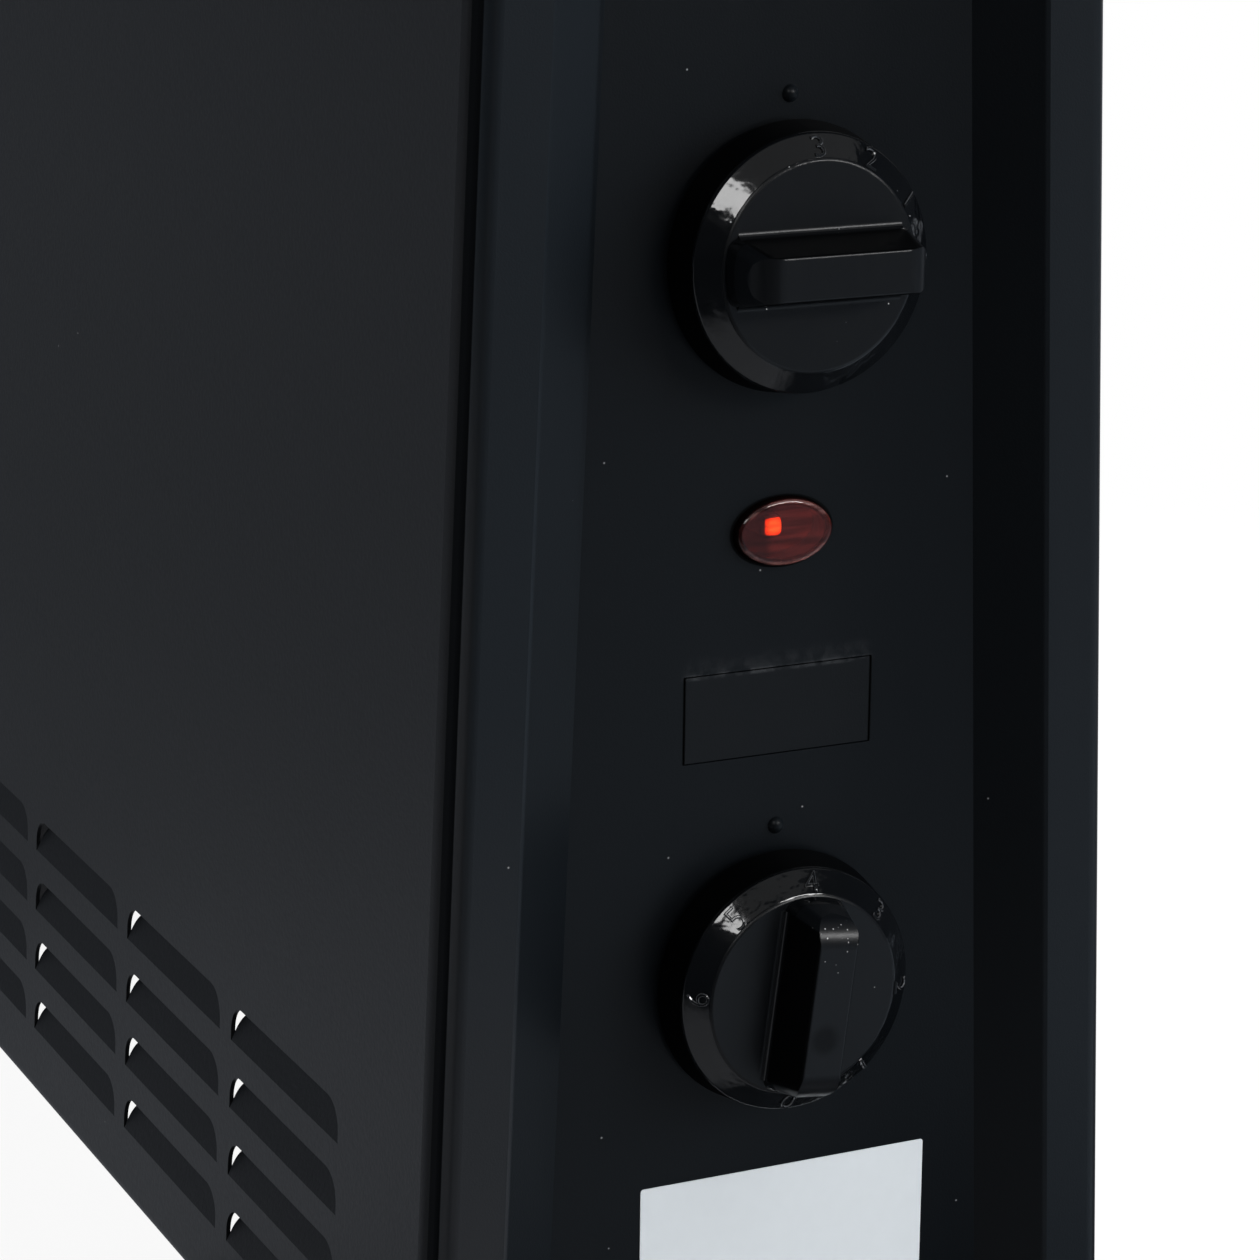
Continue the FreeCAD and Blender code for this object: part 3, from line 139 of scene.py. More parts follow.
# Patches by place; each side of one is an axis, where the patch starts and where it is full
BAR_FOOT = (("X", FACE_X + 0.15 * MM, FACE_X + 0.3 * MM), ("X", FACE_X + 2.6 * MM, FACE_X + 2.0 * MM))
RIM_FACE = (("X", RIM_X - 0.5 * MM, RIM_X - 0.2 * MM),)
RIM_LOW_SHEEN = (("Z", 0.19, 0.08), ("Y", 0.0, -0.02))
RIM_CROWN_LIGHT = (("X", RIM_X - 1.7 * MM, RIM_X - 1.5 * MM), ("X", RIM_X, RIM_X - 0.8 * MM))
RIM_SIDE_SHADE = (("X", RIM_X - 1.5 * MM, RIM_X - 1.7 * MM), ("X", RIM_X - 9 * MM, RIM_X - 8 * MM))
FRONT_BEVEL_LIGHT = (("X", FLOOR_X + 0.3 * MM, FLOOR_X + 0.8 * MM), ("Y", -0.02, -0.03), ("Z", 0.18, 0.27))
REAR_HALF_SHADE = (("Y", -0.012, 0.030), ("X", 0.0, 0.1))
SHADE_BEHIND_FLOOR = (("X", FLOOR_X - 0.1 * MM, FLOOR_X - 0.4 * MM),)
NEAR_FLOOR = (("X", FLOOR_X - 5 * MM, FLOOR_X - 4 * MM),)
MIRRORED_TABLE = (("X", 0.60, 0.42), ("X", 0.293, 0.31), ("Y", 0.08, 0.03))
MIRRORED_BESIDE = (("X", 0.275, 0.305), ("Y", 0.14, 0.20), ("Y", 1.3, 0.9))
MIRRORED_AHEAD = (("X", 0.40, 0.50), ("Y", -0.04, 0.06), ("Y", 1.3, 0.9))
MIRRORED_PLAIN_END = (("X", -0.27, -0.32), ("Y", -0.12, -0.04))

# Greys and marks of the black surfaces, among them greys of painted light and painted shade
RIM_SHEEN_GREY = (0.0172, 0.0186, 0.0212)
CROWN_LIGHT_GREY = (0.0155, 0.0168, 0.0190)
REAR_SHADE_GREY = (0.0002, 0.0010, 0.0020)
BLANK_GREY = (0.0125, 0.0128, 0.0136)
SCUFF_GREY = (0.034, 0.037, 0.041)
COAT_DUST = (0.30, 0.30, 0.30)
COVER_DUST = (0.26, 0.26, 0.27)
KNOB_DUST = (0.45, 0.46, 0.47)
INNER_DUST = (0.40, 0.40, 0.40)
DUST_ROUGHNESS = 0.3
NOISE_MEAN = 0.5

# Pale frost of the lens's painted highlight, refraction of the lens, and the lamp's glass
LENS_FROST_HIGHLIGHT = (0.55, 0.26, 0.24)
LENS_IOR = 1.49
LAMP_GLASS = (0.95, 0.90, 0.85)

# Mouldings: colour, roughness and grain; platings: colour and roughness
MOULDINGS = {
    "foot_moulding": ((0.013, 0.013, 0.014), 0.46, 0.4 * MM),
    "pad_rubber": ((0.022, 0.022, 0.022), 0.80, 0.8 * MM),
    "switch_moulding": ((0.03, 0.03, 0.031), 0.50, 0.5 * MM),
    "pale_moulding": ((0.70, 0.67, 0.60), 0.45, 0.6 * MM),
}
PLATINGS = {
    "zinc_screw": ((0.58, 0.58, 0.56), 0.30),
    "black_screw": ((0.035, 0.035, 0.037), 0.38),
}

# Recessed screws: piece, replaced node, whether the heads are on top, and slot
SCREW_GROUPS = (
    ("grille_cross_screws", "grille_screws", True, "black_screw"),
    ("bay_cross_screws", "bay_screws", False, "zinc_screw"),
    ("foot_cross_screws", "foot_screws", False, "zinc_screw"),
)

# What the gloss mirrors, a painted reflection that the floor glows with for glossy rays: a dark room, a lit
# table in it and the floor round the heater
DARK_ROOM = (0.026, 0.030, 0.035)
LIT_TABLE = (0.28, 0.29, 0.31)
PALE_NEAR = (0.48, 0.55, 0.63)
PALE_FAR = (0.20, 0.235, 0.28)
FRONT_NEAR = (0.118, 0.126, 0.140)
FRONT_FAR = (0.146, 0.156, 0.174)
FRONT_UNDER = (0.285, 0.30, 0.33)
PLAIN_END = (0.62, 0.66, 0.72)
MIRRORED_ROOM = (0.9, 1.0, 1.15)
MIRRORED_LEVEL = 0.035

# Softboxes: direction from the upper knob, distance, size, power setting, and whether gloss mirrors it
SOFTBOXES = {
    "key_card": ((0.73, -0.43, 0.53), 1.2, (0.34, 0.30), "key_power", True),
    "edge_card": ((0.80, 0.45, 0.38), 1.4, (0.6, 0.20), "edge_power", True),
    "ceiling_card": ((0.55, 0.24, 0.80), 1.5, (2.2, 0.7), "ceiling_power", True),
    "front_fill": ((-0.35, -0.85, 0.40), 1.6, (1.0, 0.7), "fill_power", False),
    "overhead_panel": ((0.25, 0.35, 0.9), 1.5, (1.4, 1.4), "top_power", False),
    "side_panel": ((0.45, 0.88, 0.15), 1.5, (1.2, 0.9), "side_power", False),
    "end_panel": ((-0.9, 0.36, 0.3), 1.6, (0.8, 0.8), "end_power", False),
}

# Studio floor: radius, and distances over which it turns plain white
STUDIO_RADIUS = 40.0
SHADOW_REACH = (0.32, 0.70)

# Camera of the photograph, from the control cover's rim and the panels' bottom edge
CAMERA_AHEAD_OF_RIM = 0.52965
CAMERA_Y = -0.28449
CAMERA_ABOVE_PANEL = 0.31230
CAMERA_RIGHT = Vector((0.43168, 0.90196, 0.01058))
CAMERA_UP = Vector((-0.22107, 0.09442, 0.97068))
CAMERA_LENS = 113.11
CAMERA_SENSOR = 36.0
CAMERA_SHIFT_Y = -0.0873


def field(prop, high=1.0, **kind):
    """Maker of settings of one kind, from 0 to a usual limit unless others are given."""
    def make(name, about, default, low=0.0, high=high):
        return prop(name=name, description=about, default=default, min=low, max=high, **kind)
    return make


colour_field = field(bpy.props.FloatVectorProperty, subtype="COLOR", size=3)
number_field = field(bpy.props.FloatProperty)
share_field = field(bpy.props.FloatProperty, subtype="FACTOR")
length_field = field(bpy.props.FloatProperty, unit="LENGTH")
power_field = field(bpy.props.FloatProperty, 500.0, unit="POWER")


class HeaterFinishes(bpy.types.PropertyGroup):
    """Colours and gloss of the heater's surfaces."""

    coat_colour: colour_field("Powder Coat", "Colour of the pressed panels", (0.0072, 0.0080, 0.0094))
    cover_colour: colour_field("End Covers", "Colour of the moulded end covers", (0.0037, 0.0050, 0.0065))
    knob_colour: colour_field("Knobs", "Colour of the polished knobs", (0.0014, 0.0018, 0.0024))
    lens_colour: colour_field("Lens", "Tint of the pilot lamp's lens", (0.42, 0.075, 0.065))
    glow_colour: colour_field("Glow", "Colour of the lit neon lamp", (1.0, 0.16, 0.02))
    plate_colour: colour_field("Rating Plate", "Colour of the bare plate", (0.585, 0.625, 0.66))
    coat_roughness: share_field("Powder Coat Roughness", "Micro roughness of the powder coat", 0.42)
    cover_roughness: share_field("Cover Roughness", "Micro roughness of the moulded covers", 0.34)
    knob_roughness: share_field("Knob Roughness", "Micro roughness of the knobs' polished rings", 0.1)
    glow_strength: number_field("Glow Strength", "Brightness of the lit neon lamp", 6.0, high=50.0)


class HeaterMarks(bpy.types.PropertyGroup):
    """Sizes of the figures, the plate and the screws that the construction leaves out."""

    figure_height: length_field("Figure Height", "Height of a figure on a dial", 3.8 * MM, 0.001, 0.006)
    figure_raise: length_field("Figure Raise", "Height of its walls above the ring", 0.22 * MM, 0.0, 0.001)
    figure_chamfer: length_field("Figure Chamfer", "Slope between its walls and top", 0.17 * MM, 0.0, 0.0005)
    plate_width: length_field("Plate Width", "Width of the bare rating plate", 52.4 * MM, 0.01, 0.1)
    plate_height: length_field("Plate Height", "Height of the bare rating plate", 28.0 * MM, 0.01, 0.1)
    plate_top: length_field("Plate Top", "Its top above the panels' bottom edge", 53.3 * MM, 0.02, 0.1)
    plate_offset: length_field("Plate Offset", "Its middle to the rear of the cover's", 2.8 * MM, -0.02, 0.02)
    plate_thickness: length_field("Plate Thickness", "Thickness of the bare plate", 0.15 * MM, 0.00005, 0.002)
    screw_head: length_field("Screw Head", "Diameter of a screw's head", 6.4 * MM, 0.003, 0.012)


class HeaterStudio(bpy.types.PropertyGroup):
    """Light and floor of the studio."""

    key_power: power_field("Key", "Power of the card that the knobs mirror brightest", 2.6)
    fill_power: power_field("Fill", "Power of the front fill", 20.0)
    top_power: power_field("Top", "Power of the overhead panel", 11.0)
    side_power: power_field("Side", "Power of the wide panel beside the control end", 28.0)
    edge_power: power_field("Edge", "Power of the strip that draws the edges", 9.0)
    end_power: power_field("End", "Power of the panel beside the plain end", 42.0)
    ceiling_power: power_field("Ceiling", "Power of the dim ceiling that the knobs mirror", 1.0)
    world_level: number_field("Room", "Level of the even light from all round", 0.16, high=2.0)
    floor_colour: colour_field("Floor", "Colour of the studio floor", (0.82, 0.82, 0.82))
    floor_white: share_field("Floor White", "Share of plain white in the floor near the heater", 0.90)


class Signal:
    """A shader socket; sums, differences, products and quotients add Math nodes, and a | b is the larger."""

    def __init__(self, finish, socket):
        self.finish = finish
        self.socket = socket

    def __add__(self, other):
        return self.finish.maths("ADD", self, other)

    def __sub__(self, other):
        return self.finish.maths("SUBTRACT", self, other)

    def __rsub__(self, other):
        return self.finish.maths("SUBTRACT", other, self)

    def __mul__(self, other):
        return self.finish.maths("MULTIPLY", self, other)

    def __truediv__(self, other):
        return self.finish.maths("DIVIDE", self, other)

    def __or__(self, other):
        return self.finish.maths("MAXIMUM", self, other)

    def __abs__(self):
        return self.finish.maths("ABSOLUTE", self)

    __radd__ = __add__
    __rmul__ = __mul__

    def fade(self, start, end):
        """0 at the start, 1 at the end, with soft shoulders."""
        settings = {"interpolation_type": "SMOOTHSTEP"}
        return self.finish.node("ShaderNodeMapRange", settings, {0: self, 1: start, 2: end})


class Finish:
    """The nodes of one material or world, written as expressions."""

    def __init__(self, owner):
        owner.use_nodes = True
        self.owner = owner
        self.tree = owner.node_tree
        self.tree.nodes.clear()

    def node(self, kind, settings=None, sockets=None, out=0):
        """Add a node: its settings are set first, then the values or links of its sockets."""
        made = self.tree.nodes.new(kind)
        for name, value in (settings or {}).items():
            if name == "stops":
                set_stops(made.color_ramp, value)
            else:
                setattr(made, name, value)
        for name, value in (sockets or {}).items():
            socket = made.inputs[name]
            if isinstance(value, Signal):
                self.tree.links.new(value.socket, socket)
            else:
                socket.default_value = opaque(value) if socket.type == "RGBA" else value
        return Signal(self, made.outputs[out]) if made.outputs else None

    def maths(self, operation, *values):
        """Math node on one or two values."""
        return self.node("ShaderNodeMath", {"operation": operation}, dict(enumerate(values)))

    def place(self):
        """Place on the part, in metres of the shared frame."""
        return self.node("ShaderNodeTexCoord", out="Object")

    def along(self, axis):
        """One coordinate of the place on the part."""
        return self.node("ShaderNodeSeparateXYZ", sockets={0: self.place()}, out=axis)

    def noise(self, size, detail=2.0, roughness=0.5, where=None):
        """Soft grain whose lumps are about the given size in metres."""
        where = where or self.place()
        sockets = {"Vector": where, "Scale": 1.0 / size, "Detail": detail, "Roughness": roughness}
        return self.node("ShaderNodeTexNoise", sockets=sockets)

    def streaks(self, scale, detail=2.0):
        """Soft grain drawn out along the axes, with so many lumps per metre on each."""
        where = self.node("ShaderNodeVectorMath", {"operation": "MULTIPLY"}, {0: self.place(), 1: scale})
        return self.noise(1.0, detail, where=where)

    def cells(self, size, out="Distance"):
        """Scattered points about the given size apart: distance to the nearest, or that point's colour."""
        sockets = {"Vector": self.place(), "Scale": 1.0 / size}
        return self.node("ShaderNodeTexVoronoi", sockets=sockets, out=out)

    def patches(self, size):
        """Random value of each patch between scattered points about the given size apart."""
        return self.node("ShaderNodeSeparateColor", sockets={0: self.cells(size, "Color")})

    def specks(self, spacing, radius, share):
        """Mask of scattered round specks: the given share of points about the given spacing apart."""
        near = self.cells(spacing).fade(radius / spacing, 0.5 * radius / spacing)
        return near * self.maths("LESS_THAN", self.patches(spacing), share)

    def oval(self, centre, half_wide, half_tall):
        """Square of the distance from a centre in YZ, 1 on an oval of the given half sizes."""
        across = (self.along("Y") - centre.y) / half_wide
        up = (self.along("Z") - centre.z) / half_tall
        return across * across + up * up

    def spot(self, centre, radius):
        """Mask of one soft round patch about a place on the part."""
        settings = {"operation": "DISTANCE"}
        away = self.node("ShaderNodeVectorMath", settings, {0: self.place(), 1: centre}, out="Value")
        return away.fade(radius, 0.4 * radius)

    def zone(self, sides):
        """Mask of a patch by place, from its sides."""
        fades = [self.along(axis).fade(start, end) for axis, start, end in sides]
        return math.prod(fades[1:], start=fades[0])

    def figure_wall_highlight(self):
        """Mask of the walls and chamfers of the figures on the knobs' sloping rings, where a highlight is
        painted.
        """
        spans = [self.oval(AXES[body], 1.0, 1.0) for body in ("selector", "thermostat")]
        radius = self.maths("SQRT", self.maths("MINIMUM", *spans))
        out = self.along("X")
        height = ((radius - SHOULDER_RADIUS) * RING_FALL + (out - SHOULDER_X) * RING_RUN) / RING_SLANT
        below_face = out.fade(FACE_X, FACE_X - 0.1 * MM)
        return height.fade(*FIGURE_WALL) * height.fade(*FIGURE_TOP) * below_face

    def bar_side_shade(self, body, lean):
        """Mask of the long sides of one knob's grip bar, which leans clockwise by some degrees, where shade
        is painted.
        """
        side = self.along("Y") - AXES[body].y
        up = self.along("Z") - AXES[body].z
        height = self.along("X") - FACE_X
        turn = math.radians(lean)
        across = abs(math.cos(turn) * side - math.sin(turn) * up)
        on_side = (across + BAR_DRAFT * height).fade(*BAR_SIDE)
        return on_side * height.fade(*BAR_SIDE_START) * abs(up).fade(*KNOB_REACH)

    def wander(self, middle, *moves):
        """Value that wanders about a middle; each move is a grain and how far it goes."""
        for grain, reach in moves:
            middle = middle + reach * (grain - NOISE_MEAN)
        return middle

    def seen_by(self, ray):
        """1 for rays of one kind, such as Camera or Glossy."""
        return self.node("ShaderNodeLightPath", out=f"Is {ray} Ray")

    def layers(self, colour, layers):
        """Colour under layers; each layer is a mask and a colour, the last one on top."""
        for mask, upper in layers:
            colour = self.blend(mask, colour, upper)
        return colour

    def blend(self, mask, first, second):
        """Colour that goes from the first to the second as the mask goes from 0 to 1."""
        sockets = {0: mask, 6: first, 7: second}
        return self.node("ShaderNodeMix", {"data_type": "RGBA"}, sockets, out=2)

    def bump(self, height, depth, over=None):
        """Normal that follows a height of the given depth in metres."""
        sockets = {"Strength": 1.0, "Distance": depth, "Height": height}
        if over:
            sockets["Normal"] = over
        return self.node("ShaderNodeBump", sockets=sockets)

    def over(self, mask, under, upper):
        """Shader that goes from the under one to the upper one as the mask goes from 0 to 1."""
        return self.node("ShaderNodeMixShader", sockets={0: mask, 1: under, 2: upper})

    def surface(self, **sockets):
        """Principled surface; a socket's name is written with underscores."""
        named = {name.replace("_", " "): value for name, value in sockets.items()}
        return self.node("ShaderNodeBsdfPrincipled", sockets=named)

    def close(self, shader, output="ShaderNodeOutputMaterial"):
        """Lead the shader to the output, and give back the material or world."""
        self.node(output, sockets={"Surface": shader})
        return self.owner


def opaque(colour):
    """The same colour with full cover."""
    return (*colour[:3], 1.0)


def shade(colour, level):
    """A lighter or darker step of a colour."""
    return tuple(min(1.0, channel * level) for channel in colour)


def set_stops(ramp, stops):
    """Colour stops of a ramp, from its start to its end."""
    while len(ramp.elements) < len(stops):
        ramp.elements.new(0.5)
    for element, (position, colour) in zip(ramp.elements, stops):
        element.position = position
        element.color = opaque(colour)


def new_finish(name):
    """The empty tree of a fresh material."""
    return Finish(bpy.data.materials.new(name))


def dress(names, material):
    """Give the material to every slot of the named nodes."""
    for name in names:
        node = NODES[name]
        if not node.material_slots:
            node.data.materials.append(material)
        for slot in node.material_slots:
            slot.material = material


# Finishes


def powder_coat(name, colour, roughness):
    """Satin black powder: fine orange peel, a little cloud in the colour and stray dust."""
    coat = new_finish(name)
    peel = coat.noise(0.9 * MM, detail=3.0, roughness=0.55)
    grain = coat.noise(0.22 * MM, detail=1.0)
    cloud = coat.noise(60 * MM, detail=3.0)
    dust = coat.specks(12 * MM, 0.2 * MM, 0.4)
    tone = coat.blend(cloud, shade(colour, 0.86), shade(colour, 1.14))
    gloss = coat.wander(roughness, (peel, 0.10), (cloud, 0.06)) + DUST_ROUGHNESS * dust
    return coat.close(coat.surface(
        Base_Color=coat.blend(dust, tone, COAT_DUST), Roughness=gloss, Specular_IOR_Level=0.25,
        Normal=coat.bump(peel, 0.05 * MM, coat.bump(grain, 0.012 * MM))))


def blank_wear_and_shade(black):
    """Masks of the snap-in plate: its face, the scuffs along its top edge and painted shade in the slits
    beside it.
    """
    play = 0.1 * MM
    slit_shade_width = (0.34 * MM, 0.2 * MM)
    slit_shade_reach = (7.3 * MM, 7.0 * MM)
    scuff_line = (0.7 * MM, 0.1 * MM)
    scuff_inset = 3 * MM
    low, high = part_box("blanking_plate")
    half_wide = high.y - BLANK_BARB_REACH
    half_tall = (high.z - low.z) / 2
    beside = black.along("Y") - (low.y + high.y) / 2
    above = black.along("Z") - high.z
    from_middle = abs(above + half_tall)
    blank = abs(beside).fade(half_wide, half_wide - play)
    blank = blank * from_middle.fade(half_tall, half_tall - play)
    along = (beside * beside).fade(high.y ** 2, (high.y - scuff_inset) ** 2)
    line = (above * above).fade(*(width ** 2 for width in scuff_line))
    haze = above.fade(-0.3 * MM, 0.2 * MM) * above.fade(4 * MM, 0.0)
    rubbed = black.noise(2.2 * MM, detail=5.0, roughness=0.65).fade(0.35, 0.7)
    scuff = along * rubbed * ((0.75 * line) | (0.3 * haze))
    # painted shade: dark bands in the slits beside the plate
    past_edge = abs(abs(beside) - (half_wide + play))
    slit_shade = past_edge.fade(*slit_shade_width) * from_middle.fade(*slit_shade_reach)
    return blank, scuff, slit_shade


def lens_oval(finish):
    """Square of the distance from the lens's middle, 1 on the outline that shows."""
    low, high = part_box("lamp_lens")
    reach = (high - low) / 2
    return finish.oval((low + high) / 2, reach.y - LENS_FLANGE, reach.z - LENS_FLANGE)


def black_moulding(name, colour, roughness):
    """Black moulded plastic: spark-eroded grain, flow marks, a paler rim, dust and scuffs, with painted light
    on the rim's rounded edge, its lower front and the upper front bevel, and painted shade on the rear half,
    in recesses and in gaps.
    """
    black = new_finish(name)
    across = abs(black.along("Y"))
    grain = black.noise(0.35 * MM)
    flow = black.streaks((9.0, 60.0, 5.0), 3.0)
    dust = black.specks(8 * MM, 0.22 * MM, 0.5)
    blank, scuff, slit_shade = blank_wear_and_shade(black)
    outer = (across + COVER_TAPER * black.along("Z")).fade(*RIM_FLANK)
    rim = black.zone(RIM_FACE)
    tone = black.layers(colour, (
        (rim, shade(colour, 2.1)),
        # painted reflection: the lower front part of the rim is made paler
        (rim * black.zone(RIM_LOW_SHEEN), RIM_SHEEN_GREY),
        # painted light: the rim's rounded outer edge is made paler where it turns away from the light
        (outer * black.zone(RIM_CROWN_LIGHT), CROWN_LIGHT_GREY),
        # painted light: the upper part of the front bevel is made paler
        ((1.0 - rim) * black.zone(FRONT_BEVEL_LIGHT), shade(colour, 1.8)),
        # painted shade: the rear half of the control end is made darker, least on the rim
        ((0.62 - 0.45 * rim) * black.zone(REAR_HALF_SHADE), REAR_SHADE_GREY),
        (0.22 * flow, shade(colour, 1.7)),
        (0.16 * blank, BLANK_GREY),
        (scuff, SCUFF_GREY),
        (dust, COVER_DUST),
    ))
    gloss = black.wander(roughness, (grain, 0.12), (flow, 0.08)) + DUST_ROUGHNESS * dust + 0.2 * scuff
    skin = black.surface(
        Base_Color=tone, Roughness=gloss, Specular_IOR_Level=0.15, Normal=black.bump(grain, 0.02 * MM))
    # painted shade: a dark dull surface behind the floor, on the rim's turned side, in the slits and round
    # the lens
    painted_shade = black.surface(Base_Color=shade(colour, 0.3), Roughness=0.7, Specular_IOR_Level=0.05)
    inside = across.fade(40 * MM, 38 * MM)
    lens_gap_shade = lens_oval(black).fade(1.19, 1.14)
    gap_shade = (slit_shade | lens_gap_shade) * black.zone(NEAR_FLOOR) * inside
    deep_shade = black.zone(SHADE_BEHIND_FLOOR) * inside
    turned = outer * black.zone(RIM_SIDE_SHADE)
    return black.close(black.over(deep_shade | turned | gap_shade, skin, painted_shade))


def polished_knob(name, colour, roughness):
    """Black knob: rippled polished ring, satin face, matt skirt, painted shade on the bar sides, smears, dust
    and crumbs.
    """
    knob = new_finish(name)
    out = knob.along("X")
    ring_end = out.fade(FACE_X - 0.35 * MM, FACE_X - 0.1 * MM)
    face = ring_end * (1.0 - knob.zone(BAR_FOOT))
    skirt = out.fade(SHOULDER_X - 0.3 * MM, SHOULDER_X - 0.6 * MM)
    ripple = knob.noise(3.0 * MM) * (1.0 - ring_end)
    smear = knob.streaks((260.0, 700.0, 160.0), 4.0)
    grain = knob.noise(0.3 * MM)
    crumbs = knob.specks(0.9 * MM, 0.16 * MM, 0.8) * knob.spot(*CRUMBS)
    dust = knob.specks(4 * MM, 0.16 * MM, 0.6) | crumbs
    # painted highlight: the figures' walls and chamfers are made lighter grey
    tone = knob.layers(colour, ((dust, KNOB_DUST), (knob.figure_wall_highlight(), FIGURE_EDGE_HIGHLIGHT)))
    wiped = 0.06 * (smear - NOISE_MEAN) + DUST_ROUGHNESS * dust
    dents = knob.bump(knob.noise(7 * MM, detail=1.5), 0.10 * MM)
    ring = knob.surface(
        Base_Color=tone, Roughness=roughness + wiped, Specular_IOR_Level=0.7,
        Normal=knob.bump(ripple, 0.12 * MM, dents))
    satin = knob.surface(
        Base_Color=knob.blend(dust, shade(colour, 2.0), KNOB_DUST), Roughness=roughness + 0.22 + wiped,
        Specular_IOR_Level=0.3, Normal=knob.bump(grain, 0.008 * MM, dents))
    # darker matt surface: the skirt's matt finish and the smudge, and painted shade on the grip bars' long
    # sides
    dull = knob.surface(Base_Color=shade(colour, 0.5), Roughness=0.5, Specular_IOR_Level=0.06)
    matt = skirt | (SMUDGE_COVER * knob.spot(*SMUDGE))
    for body, lean in BAR_LEANS.items():
        matt = matt | knob.bar_side_shade(body, lean)
    return knob.close(knob.over(matt, knob.over(face, ring, satin), dull))


def tinted_lens(name, colour):
    """Clear red lens with streaked ribs across its back; a pale frost band at its top and bottom, a painted
    highlight; a dark dull rim and a darker left side, painted shade.
    """
    lens = new_finish(name)
    low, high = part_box("lamp_lens")
    middle = (low + high) / 2
    ribs = lens.streaks((200.0, 70.0, 900.0))
    streak = ribs.fade(0.36, 0.62)
    oval = lens_oval(lens)
    # painted shade: a dull dark surface round the lens's edge
    brim = oval.fade(0.93, 0.96)
    away = abs(lens.along("Z") - middle.z)
    # painted highlight: a pale frosted band near the edge at top and bottom
    shoulder = oval.fade(0.72, 0.80) * oval.fade(0.93, 0.88)
    shoulder = shoulder * away.fade(1.8 * MM, 3.6 * MM)
    # painted shade: the lens is made darker towards its left
    dim = (lens.along("Y") - middle.y).fade(-2.2 * MM, -3.6 * MM)
    tone = lens.blend(streak, shade(colour, 0.5), shade(colour, 1.1))
    clear = lens.surface(
        Base_Color=lens.blend(0.7 * dim, tone, shade(colour, 0.25)), Roughness=0.04 + 0.06 * ribs,
        IOR=LENS_IOR, Transmission_Weight=0.9, Normal=lens.bump(ribs, 0.03 * MM))
    frost = lens.surface(
        Base_Color=LENS_FROST_HIGHLIGHT, Roughness=0.25, IOR=LENS_IOR, Transmission_Weight=0.5)
    edge = lens.surface(Base_Color=shade(colour, 0.01), Roughness=0.6, Specular_IOR_Level=0.05)
    highlighted = lens.over((0.06 + 0.4 * streak) * shoulder, clear, frost)
    return lens.close(lens.over(brim, highlighted, edge))


def clear_glass(name, colour):
    """Thin glass of the neon lamp, a little smoked near its seal."""
    glass = new_finish(name)
    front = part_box("neon_lamp")[1].x
    seal = glass.along("X").fade(front - 4 * MM, front - 8 * MM)
    tone = glass.blend(seal, colour, shade(colour, 0.6))
    return glass.close(glass.surface(
        Base_Color=tone, Roughness=0.03 + 0.1 * seal, IOR=1.2, Transmission_Weight=1.0))


def neon_glow(name, colour, strength):
    """Glowing electrode: lit on its front only, hot in its middle and redder at its edges."""
    glow = new_finish(name)
    low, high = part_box("neon_lamp")
    heart_radius = 1.6 * MM
    edge = glow.oval((low + high) / 2, heart_radius, heart_radius).fade(0.1, 1.0)
    front_x = high.x - ELECTRODE_SINK
    lit = glow.along("X").fade(front_x - 0.3 * MM, front_x - 0.1 * MM)
    tone = glow.blend(lit, (0.0, 0.0, 0.0), glow.blend(edge, ELECTRODE_HEART, colour))
    return glow.close(glow.surface(
        Base_Color=ELECTRODE_METAL, Roughness=0.5, Emission_Color=tone, Emission_Strength=strength))


def bare_plate(name, colour):
    """Pale film of the bare rating plate: faint mottling and a fine fibre."""
    film = new_finish(name)
    mottle = film.noise(3 * MM, detail=4.0)
    fibre = film.noise(0.2 * MM)
    tone = film.blend(mottle, shade(colour, 0.97), shade(colour, 1.02))
    return film.close(film.surface(
        Base_Color=tone, Roughness=0.42 + 0.08 * fibre, Normal=film.bump(fibre, 0.004 * MM)))


def zinc_sheet(name):
    """Zinc-coated sheet with its frost-like spangle and drawn streaks."""
    zinc = new_finish(name)
    spangle = zinc.patches(7 * MM)
    streak = zinc.streaks((900.0, 900.0, 25.0), 3.0)
    tone = zinc.blend(spangle, (0.44, 0.45, 0.46), (0.60, 0.61, 0.62))
    return zinc.close(zinc.surface(
        Base_Color=tone, Metallic=1.0, Roughness=zinc.wander(0.34 + 0.14 * spangle, (streak, 0.08)),
        Normal=zinc.bump(streak, 0.006 * MM)))


def plated_steel(name):
    """Plated screws and spindles: turned rings and patchy handling marks."""
    colour, roughness = PLATINGS[name]
    steel = new_finish(name)
    turned = steel.streaks((3000.0, 500.0, 3000.0))
    stain = steel.noise(2.5 * MM, detail=3.0)
    tone = steel.blend(stain, shade(colour, 0.75), shade(colour, 1.1))
    return steel.close(steel.surface(
        Base_Color=tone, Metallic=1.0, Roughness=steel.wander(roughness, (stain, 0.15)),
        Normal=steel.bump(turned, 0.006 * MM)))


def plain_moulding(name):
    """Moulded body of an inner piece or a foot: grain, flow marks and a little dust."""
    colour, roughness, grain_size = MOULDINGS[name]
    body = new_finish(name)
    grain = body.noise(grain_size)
    flow = body.noise(18 * MM, detail=3.0)
    dust = body.specks(22 * MM, 0.25 * MM, 0.3)
    tone = body.blend(flow, shade(colour, 0.85), shade(colour, 1.15))
    return body.close(body.surface(
        Base_Color=body.blend(0.6 * dust, tone, INNER_DUST), Specular_IOR_Level=0.35,
        Roughness=body.wander(roughness, (grain, 0.14), (flow, 0.06)), Normal=body.bump(grain, 0.02 * MM)))


